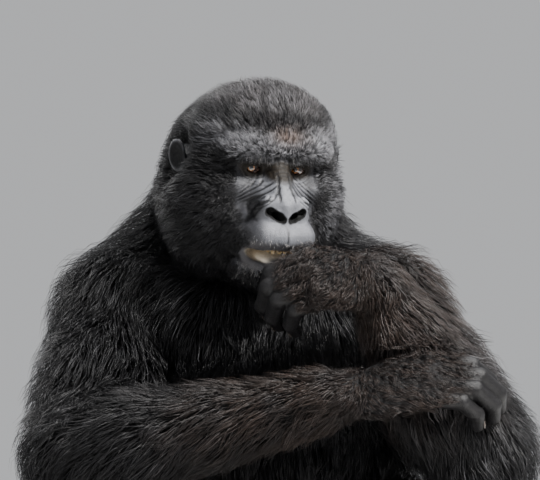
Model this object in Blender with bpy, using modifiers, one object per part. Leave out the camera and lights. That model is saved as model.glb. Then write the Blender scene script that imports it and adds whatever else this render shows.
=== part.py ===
"""A sitting mountain gorilla as a still, life-size museum model.

Metres, +Z up, facing -Y, so +X is the animal's left. Every solid reaches out to
the tips of the coat. The left hand is raised to the mouth, the right forearm
lies across the belly and its hand rests on the bent left arm.
"""
import math

import bmesh
import bpy
import numpy as np
from mathutils import Matrix, Vector

# ---- head: millimetres in its own frame, origin midway between the pupils ----
headOrigin = (0.0203, -0.165, 0.678)
headTurn = (13.0, 21.0, 2.6)  # pitch down, yaw to the left, roll, in degrees
eyeHalfGap = 32.0
eyeRadius = 11.4
eyeDepth = 13.4
earCentre = (115.0, 86.0, -3.0)

# ---- joints, metres ----
leftArm = {
    "side": 1,
    "shoulder": (0.150, 0.030, 0.486),
    "elbow": (0.302, -0.168, 0.288),
    "wrist": (0.142, -0.226, 0.530),
    "knuckles": (0.071, -0.268, 0.536),
    "back": (0.28, -0.74, 0.60),
    "flex": (50, 56, 34),
    "thumb": (0.95, -0.15, -0.42),
}
rightArm = {
    "side": -1,
    "shoulder": (-0.184, 0.024, 0.490),
    "elbow": (-0.252, -0.184, 0.290),
    "wrist": (0.112, -0.268, 0.376),
    "knuckles": (0.226, -0.284, 0.397),
    "back": (0.05, -0.70, 0.72),
    "flex": (22, 42, 34),
    "thumb": (0.85, 0.25, -0.50),
}
leftLeg = {
    "side": 1,
    "hip": (0.105, 0.010, 0.140),
    "knee": (0.335, -0.225, 0.150),
    "ankle": (0.128, -0.372, 0.078),
    "toes": (0.070, -0.590, 0.0),
}
rightLeg = {
    "side": -1,
    "hip": (-0.105, 0.010, 0.140),
    "knee": (-0.340, -0.215, 0.150),
    "ankle": (-0.138, -0.362, 0.078),
    "toes": (-0.112, -0.588, 0.0),
}

# ---- depth of the coat over the skin, metres ----
trunkCoat = 0.034
neckCoat = 0.030
crownCoat = 0.020
cheekCoat = 0.020
upperArmCoat = 0.040
forearmCoat = 0.030
handCoat = 0.007
thighCoat = 0.030
shinCoat = 0.026
footCoat = 0.005

# ---- solids ----
originShift = (0.0027, 0.1654, 0.0)  # brings the middle of the base to the origin
gap = 0.0003
floorFlat = 0.0


def vec(*xyz):
    return np.array(xyz, dtype=float)


def unit(v):
    v = np.asarray(v, dtype=float)
    return v / np.linalg.norm(v)


def turnMatrix(pitch, yaw, roll):
    a, b, c = (math.radians(v) for v in (pitch, yaw, roll))
    rx = np.array([[1, 0, 0], [0, math.cos(a), -math.sin(a)], [0, math.sin(a), math.cos(a)]])
    rz = np.array([[math.cos(b), -math.sin(b), 0], [math.sin(b), math.cos(b), 0], [0, 0, 1]])
    ry = np.array([[math.cos(c), 0, math.sin(c)], [0, 1, 0], [-math.sin(c), 0, math.cos(c)]])
    return ry @ rz @ rx


headAxes = turnMatrix(*headTurn)


def toHead(points):
    return (points - np.array(headOrigin)) @ headAxes * 1000.0


def fromHead(local):
    return np.asarray(local, dtype=float) / 1000.0 @ headAxes.T + np.array(headOrigin)


# ---- distance to simple forms: negative inside ----
def ball(points, centre, radii):
    q = points - np.asarray(centre, dtype=float)
    r = np.asarray(radii, dtype=float)
    k0 = np.linalg.norm(q / r, axis=1)
    k1 = np.linalg.norm(q / (r * r), axis=1)
    return k0 * (k0 - 1.0) / np.maximum(k1, 1e-9)


def tiltedBall(points, centre, radii, axes):
    return ball((points - np.asarray(centre, dtype=float)) @ np.array(axes).T, (0, 0, 0), radii)


def limb(points, a, b, ra, rb):
    a = np.asarray(a, dtype=float)
    axis = np.asarray(b, dtype=float) - a
    t = np.clip((points - a) @ axis / (axis @ axis), 0.0, 1.0)
    return np.linalg.norm(points - a - t[:, None] * axis, axis=1) - (ra + (rb - ra) * t)


def blend(a, b, k):
    h = np.clip(0.5 + 0.5 * (b - a) / k, 0.0, 1.0)
    return b + (a - b) * h - k * h * (1.0 - h)


def carve(a, b, k):
    return -blend(-a, b, k)


def ramp(x, lo, hi):
    t = np.clip((x - lo) / (hi - lo), 0.0, 1.0)
    return t * t * (3.0 - 2.0 * t)


def chain(points, stops, k, base=None):
    d = base
    for (a, ra), (b, rb) in zip(stops, stops[1:]):
        part = limb(points, a, b, ra, rb)
        d = part if d is None else blend(d, part, k)
    return d


# ---- the head, symmetric about its own middle plane ----
def headField(q):
    m = np.stack([np.abs(q[:, 0]), q[:, 1], q[:, 2]], axis=1)
    d = ball(m, (0, 100, -46), (112, 108, 128))
    d = blend(d, ball(m, (0, 62, -22), (80, 68, 80)), 16)
    d = blend(d, ball(m, (0, 60, 38), (84, 64, 54)), 18)
    d = blend(d, ball(m, (66, 46, -54), (40, 50, 50)), 22)
    d = blend(d, ball(m, (50, 64, -112), (46, 56, 42)), 24)
    d = chain(m, [((0, 0, 31), 11.5), ((32, -6, 36), 11.5), ((62, 9, 28), 10.5), ((78, 34, 4), 10)], 14, d)
    d = blend(d, ball(m, (52, 8, -28), (24, 18, 15)), 12)
    # muzzle: a wedge from between the eyes down to a broad upper lip
    d = chain(m, [((0, 22, 2), 26), ((0, 2, -36), 34), ((0, -8, -62), 44)], 14, d)
    d = blend(d, ball(m, (0, 12, -80), (60, 78, 34)), 16)
    d = carve(d, ball(m, (33, -14, 1), (23, 20, 14)), 10)
    d = chain(m, [((0, 2, 16), 10), ((0, -15, -12), 13), ((0, -36, -34), 17)], 12, d)
    # lips and jaw
    d = chain(m, [((0, -59, -81), 15), ((28, -48, -81), 15), ((51, -10, -93), 9)], 14, d)
    d = blend(d, limb(m, (50, 0, -98), (46, 26, -112), 14, 20), 14)
    jaw = ball(m, (0, 14, -134), (50, 60, 28))
    jaw = blend(jaw, ball(m, (0, -18, -144), (32, 30, 21)), 14)
    jaw = chain(m, [((0, -43, -129), 9), ((26, -34, -126), 9), ((50, -4, -103), 8)], 10, jaw)
    d = blend(d, jaw, 9)
    d = carve(d, ball(m, (0, -38, -108), (42, 36, 13)), 3)
    d = blend(d, ball(m, (0, -18, -116), (26, 38, 8)), 3)
    # nose pads and nostrils
    pads = ball(m, (12, -40, -50), (21, 18, 18))
    wings = [((7, -48, -34), 10), ((25, -41, -37), 10), ((31, -34, -51), 9.5), ((20, -43, -66), 6.5)]
    pads = chain(m, wings, 6, pads)
    d = blend(d, pads, 4)
    d = blend(d, limb(m, (0, -53, -38), (0, -57, -61), 8, 5.5), 5)
    holes = limb(m, (6.8, -63, -56.5), (22.5, -52, -46), 4.4, 5.8)
    holes = blend(holes, limb(m, (10, -55, -54), (17, -36, -49), 5.6, 4.6), 3)
    d = carve(d, holes, 2.2)
    # lids around the eyeball, parted by an almond opening
    d = blend(d, ball(m, (eyeHalfGap, eyeDepth, 0), (eyeRadius + 2.2,) * 3), 4)
    d = carve(d, ball(m, (eyeHalfGap, 2, -0.3), (10.4, 14, 4.9)), 1.0)
    return d


def faceMask(q):
    """1 on bare face skin, 0 on haired head."""
    x = np.abs(q[:, 0])
    front = 1.0 - ramp(q[:, 1], 12, 32)
    wide = 1.0 - ramp(x, 49, 65)
    top = 9.0 + 7.0 * np.exp(-(x / 13.0) ** 2)
    low = 1.0 - ramp(q[:, 2] - top, 0, 9)
    high = ramp(q[:, 2], -140, -122)
    return front * wide * low * high


def headCoat(q):
    soft = crownCoat + (cheekCoat - crownCoat) * ramp(-q[:, 2], -20, 60)
    brow = 0.20 + 0.80 * ramp(q[:, 1], -10, 60)
    fromEar = np.linalg.norm(np.abs(q) * vec(1, 0, 0) + q * vec(0, 1, 1) - vec(*earCentre), axis=1)
    brow = brow * (0.15 + 0.85 * ramp(fromEar, 16, 52))
    return soft * brow * (1.0 - faceMask(q)) + 0.0004


def earField(p, side):
    q = toHead(p)
    q = q * vec(side, 1, 1)
    c = vec(*earCentre)
    flare = turnMatrix(0, -28, 6)
    r = (q - c) @ flare
    body = ball(r, (0, 0, 0), (6.5, 15, 23))
    bowl = ball(r, (7.5, -2.5, 2), (6, 9, 14))
    lobe = ball(r, (-1, -6, -17), (5, 7, 7))
    return carve(blend(body, lobe, 5), bowl, 3) / 1000.0


# ---- trunk with neck ----
def trunkField(p):
    d = ball(p, (0, 0.085, 0.130), (0.180, 0.140, 0.142))
    for s in (1, -1):
        d = blend(d, ball(p, (0.085 * s, 0.120, 0.085), (0.085, 0.095, 0.100)), 0.03)
    d = blend(d, ball(p, (0, -0.005, 0.265), (0.190, 0.160, 0.165)), 0.05)
    d = blend(d, ball(p, (0, 0.098, 0.290), (0.150, 0.098, 0.170)), 0.05)
    d = blend(d, ball(p, (0, 0.050, 0.420), (0.185, 0.140, 0.160)), 0.05)
    d = blend(d, ball(p, (0, 0.095, 0.510), (0.165, 0.095, 0.105)), 0.05)
    for s in (1, -1):
        d = blend(d, ball(p, (0.080 * s, -0.045, 0.475), (0.085, 0.062, 0.065)), 0.03)
    d = chain(p, [((0, 0.085, 0.540), 0.085), ((-0.012, 0.010, 0.610), 0.092)], 0.05, d)
    d = chain(p, [((0, 0.110, 0.545), 0.070), ((-0.022, 0.030, 0.668), 0.078)], 0.05, d)
    d = chain(p, [((-0.062, 0.058, 0.636), 0.055), ((-0.148, 0.050, 0.553), 0.052)], 0.04, d)
    return d


def trunkCoatAt(p):
    atNeck = ramp(p[:, 2], 0.50, 0.60)
    atFloor = 1 - ramp(p[:, 2], 0.0, 0.12)
    return trunkCoat + (neckCoat - trunkCoat) * atNeck - 0.018 * atFloor


# ---- arms ----
def handFrame(arm):
    wrist = vec(*arm["wrist"])
    forward = unit(vec(*arm["knuckles"]) - wrist)
    back = vec(*arm["back"])
    back = unit(back - forward * (back @ forward))
    thumbSide = np.cross(forward, back) if arm["side"] > 0 else np.cross(back, forward)
    return wrist, forward, back, thumbSide


fingerPlan = (  # offset to the thumb side, set back, length, radius
    (0.0335, 0.000, 1.00, 0.0122),
    (0.0115, -0.005, 1.08, 0.0128),
    (-0.0110, -0.001, 1.02, 0.0124),
    (-0.0320, 0.009, 0.86, 0.0110),
)
boneLengths = (0.056, 0.038, 0.024)


def fingerBones(arm):
    wrist, forward, back, thumbSide = handFrame(arm)
    knuckles = vec(*arm["knuckles"])
    bones = []
    for offset, setBack, length, radius in fingerPlan:
        at = knuckles + thumbSide * offset - forward * setBack
        angle = 0.0
        stops = [(at, radius * 1.06)]
        for i, (bend, bone) in enumerate(zip(arm["flex"], boneLengths)):
            angle += math.radians(bend)
            at = at + (forward * math.cos(angle) - back * math.sin(angle)) * bone * length
            stops.append((at, radius * (1.0, 0.94, 0.80)[i]))
        bones.append(stops)
    a, b, c = arm["thumb"]
    along = unit(forward * a + thumbSide * b + back * c)
    at = wrist + thumbSide * 0.026 + forward * 0.014 - back * 0.004
    tip = unit(along + forward * 0.35)
    bones.append([(at, 0.0135), (at + along * 0.044, 0.0120), (at + along * 0.044 + tip * 0.030, 0.0112),
                  (at + along * 0.044 + tip * 0.050, 0.0092)])
    return bones


def armField(p, arm):
    shoulder, elbow, wrist = vec(*arm["shoulder"]), vec(*arm["elbow"]), vec(*arm["wrist"])
    down = unit(elbow - shoulder)
    d = ball(p, shoulder + down * 0.02, (0.072, 0.076, 0.074))
    d = chain(p, [(shoulder, 0.066), (shoulder + down * 0.16, 0.056), (elbow, 0.043)], 0.03, d)
    up = unit(wrist - elbow)
    lower = [(elbow, 0.043), (elbow + up * 0.09, 0.050), (elbow + up * 0.20, 0.038), (wrist, 0.029)]
    d = chain(p, lower, 0.02, d)
    return blend(d, handField(p, arm), 0.012)


def handField(p, arm):
    wrist, forward, back, thumbSide = handFrame(arm)
    knuckles = vec(*arm["knuckles"])
    middle = wrist + (knuckles - wrist) * 0.58
    reach = np.linalg.norm(knuckles - wrist)
    d = tiltedBall(p, middle, (reach * 0.62, 0.047, 0.0185), (forward, thumbSide, back))
    row = limb(p, knuckles + thumbSide * 0.034, knuckles - thumbSide * 0.032, 0.0125, 0.0115)
    d = blend(d, row, 0.010)
    for stops in fingerBones(arm):
        d = blend(d, chain(p, stops, 0.003), 0.004)
    return d


def along(p, a, b):
    a = np.asarray(a, dtype=float)
    axis = np.asarray(b, dtype=float) - a
    return (p - a) @ axis / (axis @ axis)


def armCoatAt(p, arm):
    wrist, forward, back, thumbSide = handFrame(arm)
    lower = ramp(along(p, arm["elbow"], arm["wrist"]), 0.1, 0.9)
    upperD = limb(p, arm["shoulder"], arm["elbow"], 0.05, 0.045)
    lowerD = limb(p, arm["elbow"], arm["wrist"], 0.045, 0.03)
    share = ramp(upperD - lowerD, -0.03, 0.03)
    coat = upperArmCoat + (forearmCoat - 0.010 * lower - upperArmCoat) * share
    beyond = (p - wrist) @ forward
    hand = ramp(beyond, -0.03, 0.03) * (1 - ramp(handField(p, arm), 0.004, 0.03))
    dorsal = ramp((p - wrist) @ back, -0.02, 0.012) * (1 - ramp(beyond, 0.05, 0.125))
    coat = coat * (1 - hand) + (0.0006 + handCoat * dorsal) * hand
    return coat


# ---- legs ----
def footFrame(leg):
    ankle = vec(*leg["ankle"])
    toes = vec(*leg["toes"])
    forward = unit(vec(toes[0] - ankle[0], toes[1] - ankle[1], 0))
    medial = vec(-forward[1], forward[0], 0) * -leg["side"]
    heel = vec(ankle[0], ankle[1], 0) - forward * 0.025
    return heel, forward, medial


toePlan = (  # medial offset, start forward, length, radius, splay
    (0.0170, 0.172, 0.062, 0.0132, 0.10),
    (-0.0070, 0.172, 0.064, 0.0128, 0.02),
    (-0.0300, 0.162, 0.058, 0.0120, -0.06),
    (-0.0500, 0.146, 0.050, 0.0110, -0.14),
)


def toeBones(leg):
    heel, forward, medial = footFrame(leg)
    bones = []
    for offset, start, length, radius, splay in toePlan:
        a = heel + forward * start + medial * offset + vec(0, 0, radius + 0.006)
        run = unit(forward + medial * splay)
        b = a + run * length * 0.55 + vec(0, 0, 0.003)
        c = a + run * length + vec(0, 0, -0.0085)
        bones.append([(a, radius * 1.1), (b, radius), (c, radius * 0.86)])
    a = heel + forward * 0.085 + medial * 0.030 + vec(0, 0, 0.020)
    run = unit(forward * 0.82 + medial * 0.58)
    bones.append([(a, 0.021), (a + run * 0.048 + vec(0, 0, -0.002), 0.0175),
                  (a + run * 0.080 + vec(0, 0, -0.007), 0.0145)])
    return bones


def footField(p, leg):
    heel, forward, medial = footFrame(leg)
    d = chain(p, [(heel + vec(0, 0, 0.034), 0.034), (heel + forward * 0.080 + vec(0, 0, 0.036), 0.036),
                  (heel + forward * 0.150 - medial * 0.008 + vec(0, 0, 0.028), 0.030)], 0.02)
    ballWidth = limb(p, heel + forward * 0.156 + medial * 0.018 + vec(0, 0, 0.021),
                     heel + forward * 0.132 - medial * 0.046 + vec(0, 0, 0.018), 0.022, 0.018)
    d = blend(d, ballWidth, 0.015)
    for stops in toeBones(leg):
        d = blend(d, chain(p, stops, 0.004), 0.005)
    return d


def legField(p, leg):
    hip, knee, ankle = vec(*leg["hip"]), vec(*leg["knee"]), vec(*leg["ankle"])
    thigh = unit(knee - hip)
    d = chain(p, [(hip, 0.098), (hip + thigh * 0.16, 0.082), (knee, 0.056)], 0.04)
    down = unit(ankle - knee)
    d = chain(p, [(knee, 0.056), (knee + down * 0.10, 0.050), (ankle, 0.032)], 0.025, d)
    return blend(d, footField(p, leg), 0.018)


def legCoatAt(p, leg):
    heel, forward, medial = footFrame(leg)
    coat = thighCoat + (shinCoat - thighCoat) * ramp(along(p, leg["knee"], leg["ankle"]), 0.0, 0.5)
    foot = 1 - ramp(footField(p, leg), 0.006, 0.030)
    low = 1 - ramp(p[:, 2], 0.062, 0.105)
    coat = coat * (1 - foot * low) + (0.0005 + footCoat * ramp(p[:, 2], 0.02, 0.06)) * foot * low
    return coat * (0.35 + 0.65 * ramp(p[:, 2], 0.0, 0.07))


# ---- from a distance field to a closed mesh ----
def surfaceOf(field, low, high, step):
    """Vertices and quads of the field's zero surface on a regular grid."""
    low = np.asarray(low, dtype=float)
    counts = np.ceil((np.asarray(high) - low) / step).astype(int) + 1
    axes = [low[i] + step * np.arange(counts[i]) for i in range(3)]
    values = np.empty(counts)
    for i in range(counts[0]):
        yy, zz = np.meshgrid(axes[1], axes[2], indexing="ij")
        points = np.stack([np.full(yy.size, axes[0][i]), yy.ravel(), zz.ravel()], axis=1)
        values[i] = field(points).reshape(yy.shape)
    values[values == 0.0] = 1e-9
    inside = values < 0
    cells = counts - 1
    total = np.zeros((np.prod(cells), 3))
    hits = np.zeros(np.prod(cells))
    quads = []
    for axis in range(3):
        other = [i for i in range(3) if i != axis]
        first = [slice(None)] * 3
        second = [slice(None)] * 3
        first[axis] = slice(0, -1)
        second[axis] = slice(1, None)
        changed = inside[tuple(first)] != inside[tuple(second)]
        at = np.argwhere(changed)
        keep = np.all((at[:, other] > 0) & (at[:, other] < cells[other]), axis=1)
        at = at[keep]
        a = values[tuple(at.T)]
        nextAt = at.copy()
        nextAt[:, axis] += 1
        b = values[tuple(nextAt.T)]
        point = at * step + low
        point[:, axis] += step * a / (a - b)
        ring = []
        for du, dv in ((0, 0), (-1, 0), (-1, -1), (0, -1)):
            cell = at.copy()
            cell[:, other[0]] += du
            cell[:, other[1]] += dv
            index = np.ravel_multi_index(tuple(cell.T), tuple(cells))
            np.add.at(total, index, point)
            np.add.at(hits, index, 1)
            ring.append(index)
        ring = np.stack(ring, axis=1)
        flip = (a > 0) ^ (axis == 1)
        ring[flip] = ring[flip][:, ::-1]
        quads.append(ring)
    quads = np.concatenate(quads)
    used, flat = np.unique(quads.ravel(), return_inverse=True)
    return total[used] / hits[used][:, None], flat.reshape(quads.shape)


def gradientOf(field, points, h):
    g = np.empty_like(points)
    for i in range(3):
        shift = np.zeros(3)
        shift[i] = h
        g[:, i] = field(points + shift) - field(points - shift)
    return g / (2 * h)


def levelFloor(obj, reach=0.0008):
    """Put what almost touches the floor exactly on it."""
    for v in obj.data.vertices:
        if v.co.z < reach:
            v.co.z = floorFlat
    return obj


def settle(mesh, field, rounds, h):
    """Bring a mesh's vertices onto the zero surface of the field."""
    count = len(mesh.vertices)
    points = np.empty(count * 3)
    mesh.vertices.foreach_get("co", points)
    points = points.reshape(-1, 3)
    for _ in range(rounds):
        d = field(points)
        g = gradientOf(field, points, h)
        length = np.maximum((g * g).sum(axis=1), 0.25)
        points = points - np.clip(d / length, -2 * h, 2 * h)[:, None] * g
    mesh.vertices.foreach_set("co", points.ravel())
    mesh.update()


animal = bpy.data.collections.new("mountain_gorilla")
tools = bpy.data.collections.new("cutters")


def newObject(name, vertices, faces):
    mesh = bpy.data.meshes.new(name)
    mesh.from_pydata([tuple(v) for v in vertices], [], [tuple(int(i) for i in f) for f in faces])
    mesh.update()
    obj = bpy.data.objects.new(name, mesh)
    tools.objects.link(obj)
    return obj


def applyModifier(obj, kind, **settings):
    modifier = obj.modifiers.new(kind, kind)
    for key, value in settings.items():
        setattr(modifier, key, value)
    graph = bpy.context.evaluated_depsgraph_get()
    mesh = bpy.data.meshes.new_from_object(obj.evaluated_get(graph))
    obj.modifiers.clear()
    old = obj.data
    obj.data = mesh
    bpy.data.meshes.remove(old)
    return obj


def triangleCount(obj):
    return sum(len(p.vertices) - 2 for p in obj.data.polygons)


def thin(obj, target):
    now = triangleCount(obj)
    if now > target:
        applyModifier(obj, "DECIMATE", ratio=target / now, use_collapse_triangulate=True)
    return levelFloor(obj)


def thinWhere(obj, choose, target):
    """Reduce the faces whose corners are chosen to about the target count."""
    mesh = obj.data
    points = np.empty(len(mesh.vertices) * 3)
    mesh.vertices.foreach_get("co", points)
    chosen = choose(points.reshape(-1, 3))
    obj.vertex_groups.clear()
    group = obj.vertex_groups.new(name="thinned")
    group.add([int(i) for i in np.flatnonzero(chosen)], 1.0, "REPLACE")
    total = triangleCount(obj)
    inside = sum(len(p.vertices) - 2 for p in mesh.polygons if all(chosen[i] for i in p.vertices))
    applyModifier(obj, "DECIMATE", ratio=(total - inside + target) / total, vertex_group="thinned",
                  vertex_group_factor=1000.0, use_collapse_triangulate=True)
    obj.vertex_groups.clear()
    return levelFloor(obj)


def solidOf(name, field, low, high, step):
    vertices, faces = surfaceOf(field, low, high, step)
    obj = newObject(name, vertices, faces)
    applyModifier(obj, "REMESH", mode="VOXEL", voxel_size=step * 0.9)
    settle(obj.data, field, 3, step * 0.5)
    return levelFloor(obj)


def cutAway(obj, cutter):
    """Take the cutter out of the solid, the slower way when the plain one yields nothing."""
    before = obj.data.copy()
    for careful in (False, True):
        applyModifier(obj, "BOOLEAN", operation="DIFFERENCE", solver="EXACT", object=cutter,
                      use_self=careful, use_hole_tolerant=careful)
        if len(obj.data.polygons) > 3:
            return obj
        obj.data = before.copy()
    return obj


def swollen(obj, amount):
    """A copy of the solid grown by the amount, used to keep neighbours apart."""
    copy = obj.copy()
    copy.data = obj.data.copy()
    tools.objects.link(copy)
    mesh = copy.data
    count = len(mesh.vertices)
    points = np.empty(count * 3)
    normals = np.empty(count * 3)
    mesh.vertices.foreach_get("co", points)
    mesh.vertices.foreach_get("normal", normals)
    mesh.vertices.foreach_set("co", points + normals * amount)
    mesh.update()
    return copy


def islands(obj):
    """The separate closed pieces of a mesh, largest first, as new objects."""
    bm = bmesh.new()
    bm.from_mesh(obj.data)
    bm.verts.ensure_lookup_table()
    seen = set()
    groups = []
    for start in bm.verts:
        if start.index in seen:
            continue
        stack = [start]
        seen.add(start.index)
        group = []
        while stack:
            v = stack.pop()
            group.append(v)
            for edge in v.link_edges:
                w = edge.other_vert(v)
                if w.index not in seen:
                    seen.add(w.index)
                    stack.append(w)
        groups.append(group)
    pieces = []
    for group in groups:
        number = {v.index: i for i, v in enumerate(group)}
        faces = {f for v in group for f in v.link_faces}
        rows = [[number[v.index] for v in f.verts] for f in sorted(faces, key=lambda f: f.index)]
        pieces.append(([tuple(v.co) for v in group], rows))
    bm.free()
    pieces.sort(key=lambda piece: -len(piece[0]))
    return pieces


def largest(obj):
    vertices, faces = islands(obj)[0]
    return newObject(obj.name, vertices, faces)


def slab(point, normal, half, thickness):
    """A flat square block centred on the point, its faces across the normal."""
    block = newObject("slab", *boxMesh((2 * half, 2 * half, thickness)))
    turn = Vector(tuple(normal)).to_track_quat("Z", "Y").to_matrix().to_4x4()
    block.data.transform(Matrix.Translation(Vector(tuple(point))) @ turn)
    return block


def split(obj, point, normal, half, names):
    """Part a solid by a thin slab; the first name lies on the normal's side."""
    cutAway(obj, slab(point, normal, half, gap))
    sides = {}
    for vertices, faces in islands(obj):
        centre = np.mean(np.array(vertices), axis=0)
        side = names[0] if (centre - np.asarray(point)) @ np.asarray(normal) > 0 else names[1]
        if side not in sides:
            sides[side] = newObject(side, vertices, faces)
    return sides[names[0]], sides[names[1]]


def trimTo(obj, point, normal):
    """Keep what lies on the normal's side of a plane, half a gap away from it."""
    n = unit(normal)
    cutAway(obj, slab(np.asarray(point) - n * (0.5 - gap / 2), n, 0.8, 1.0))
    return largest(obj)


def boxMesh(size):
    x, y, z = (v / 2 for v in size)
    vertices = [(sx * x, sy * y, sz * z) for sx in (-1, 1) for sy in (-1, 1) for sz in (-1, 1)]
    faces = [(0, 1, 3, 2), (4, 6, 7, 5), (0, 4, 5, 1), (2, 3, 7, 6), (0, 2, 6, 4), (1, 5, 7, 3)]
    return vertices, faces


def globe(name, centre, radii, axes, rings, sides):
    """A closed ellipsoid with its pole along the third axis."""
    vertices = [(0, 0, 1)]
    for i in range(1, rings):
        a = math.pi * i / rings
        for j in range(sides):
            b = 2 * math.pi * j / sides
            vertices.append((math.sin(a) * math.cos(b), math.sin(a) * math.sin(b), math.cos(a)))
    vertices.append((0, 0, -1))
    last = len(vertices) - 1
    faces = []
    for j in range(sides):
        k = (j + 1) % sides
        faces.append((0, 1 + j, 1 + k))
        for i in range(rings - 2):
            a = 1 + i * sides
            faces.append((a + j, a + sides + j, a + sides + k, a + k))
        a = 1 + (rings - 2) * sides
        faces.append((a + j, last, a + k))
    frame = np.array(axes)
    if np.linalg.det(frame) < 0:
        faces = [face[::-1] for face in faces]
    points = np.array(vertices) * np.asarray(radii) @ frame + np.asarray(centre)
    return newObject(name, points, faces)


def tidy(obj):
    bm = bmesh.new()
    bm.from_mesh(obj.data)
    bmesh.ops.remove_doubles(bm, verts=bm.verts, dist=0.00002)
    bmesh.ops.dissolve_degenerate(bm, edges=bm.edges, dist=0.00002)
    bmesh.ops.triangulate(bm, faces=bm.faces)
    bm.to_mesh(obj.data)
    bm.free()
    return obj


def clearScene():
    for obj in list(bpy.data.objects):
        bpy.data.objects.remove(obj, do_unlink=True)
    for collection in (animal, tools):
        bpy.context.scene.collection.children.link(collection)


# ---- fields grown by the coat and resting on the floor ----
def floorCut(d, p):
    return np.maximum(d, floorFlat - p[:, 2])


def trunkEnvelope(p):
    return trunkField(p) - trunkCoatAt(p)


def headEnvelope(p):
    q = toHead(p)
    return headField(q) / 1000.0 - headCoat(q)


def bodyEnvelope(p):
    d = blend(trunkEnvelope(p), headEnvelope(p), 0.020)
    return floorCut(d, p)


def armEnvelope(arm):
    return lambda p: armField(p, arm) - armCoatAt(p, arm)


def legEnvelope(leg):
    return lambda p: floorCut(legField(p, leg) - legCoatAt(p, leg), p)


def teethField(p):
    q = toHead(p)
    x = np.abs(q[:, 0])
    m = np.stack([x, q[:, 1], q[:, 2]], axis=1)
    d = chain(m, [((0, -56, -93), 3.6), ((14, -52, -93), 3.6), ((24, -42, -94), 3.4)], 2)
    for cx, cy, r in ((4.6, -57.5, 4.4), (12.2, -55, 3.8), (19.0, -49.5, 4.2)):
        d = blend(d, ball(m, (cx, cy, -97.0), (r, 3.0, 6.0)), 1.2)
    return d / 1000.0


def boxAround(field, low, high, step=0.03):
    """The part of a box that the field reaches, with a margin."""
    axes = [np.arange(a, b, step) for a, b in zip(low, high)]
    grid = np.stack([g.ravel() for g in np.meshgrid(*axes, indexing="ij")], axis=1)
    near = grid[field(grid) < step]
    return near.min(axis=0) - step, near.max(axis=0) + step


def material(name, colour, roughness, metallic=0.0):
    made = bpy.data.materials.new(name)
    made.use_nodes = True
    shader = made.node_tree.nodes["Principled BSDF"]
    shader.inputs["Base Color"].default_value = (*colour, 1.0)
    shader.inputs["Roughness"].default_value = roughness
    shader.inputs["Metallic"].default_value = metallic
    return made


def finish(obj, name, look):
    tidy(obj)
    for other in list(bpy.data.objects):
        if other.name == name and other is not obj:
            other.name = "spare"
    obj.name = name
    obj.data.name = name
    obj.data.materials.clear()
    obj.data.materials.append(look)
    for collection in list(obj.users_collection):
        collection.objects.unlink(obj)
    animal.objects.link(obj)
    return obj


def nailsOn(label, bones, dorsal, crowding):
    """Nail plates on the last bones, left out where something presses on them."""
    nails = []
    for i, stops in enumerate(bones):
        a, b, radius = stops[-2][0], stops[-1][0], stops[-1][1]
        run = unit(b - a)
        up = dorsal(i, run)
        up = unit(up - run * (up @ run))
        across = np.cross(run, up)
        centre = b - run * radius * 0.15 + up * (radius + 0.0002)
        beside = min(chain(centre[None], other, 0.003)[0] for j, other in enumerate(bones) if j != i)
        if beside > 0.003 and all(field(centre[None])[0] > 0.004 for field in crowding):
            size = (radius * 0.78, radius * 0.66, 0.0017)
            nails.append(globe(f"{label}_nail_{i + 1}", centre, size, (run, across, up), 4, 6))
    return nails


def fingerBack(arm):
    wrist, forward, back, thumbSide = handFrame(arm)

    def dorsal(i, run):
        if i == 4:
            return back * 0.6 + thumbSide * 0.8
        return back * (run @ forward) - forward * (run @ back)
    return dorsal


def buildTrunkAndHead():
    neckFacing = unit(vec(-0.05, -0.55, 0.83))
    neckTop, neckBase = vec(-0.015, 0.045, 0.620), vec(-0.008, 0.072, 0.562)

    def above(p):
        return np.maximum(bodyEnvelope(p), -((p - neckBase) @ neckFacing) - 0.012)

    def below(p):
        return np.maximum(bodyEnvelope(p), (p - neckBase) @ neckFacing - 0.012)

    low, high = boxAround(above, (-0.45, -0.45, 0.35), (0.45, 0.45, 0.95), 0.02)
    upper = solidOf("upper", above, low, high, 0.0033)
    low, high = boxAround(below, (-0.45, -0.45, -0.05), (0.45, 0.45, 0.95))
    lower = solidOf("lower", below, low, high, 0.009)
    thin(lower, 580)
    thinWhere(upper, lambda c: toHead(c)[:, 1] > 40, 640)
    thinWhere(upper, lambda c: toHead(c)[:, 1] <= 40, 1800)
    thin(upper, 1520)
    upper = trimTo(upper, neckBase, neckFacing)
    lower = trimTo(lower, neckBase, -neckFacing)
    shells = [swollen(upper, gap), swollen(lower, gap)]
    head, neck = split(upper, neckTop, neckFacing, 0.6, ("head", "neck"))
    chest, rest = split(lower, vec(0, 0, 0.375), vec(0, 0.10, 0.995), 0.6, ("chest", "rest"))
    abdomen, pelvis = split(rest, vec(0, 0, 0.195), vec(0, 0.18, 0.984), 0.6, ("abdomen", "pelvis"))
    return shells, {"head": head, "neck": neck, "chest": chest, "abdomen": abdomen, "pelvis": pelvis}


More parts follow.
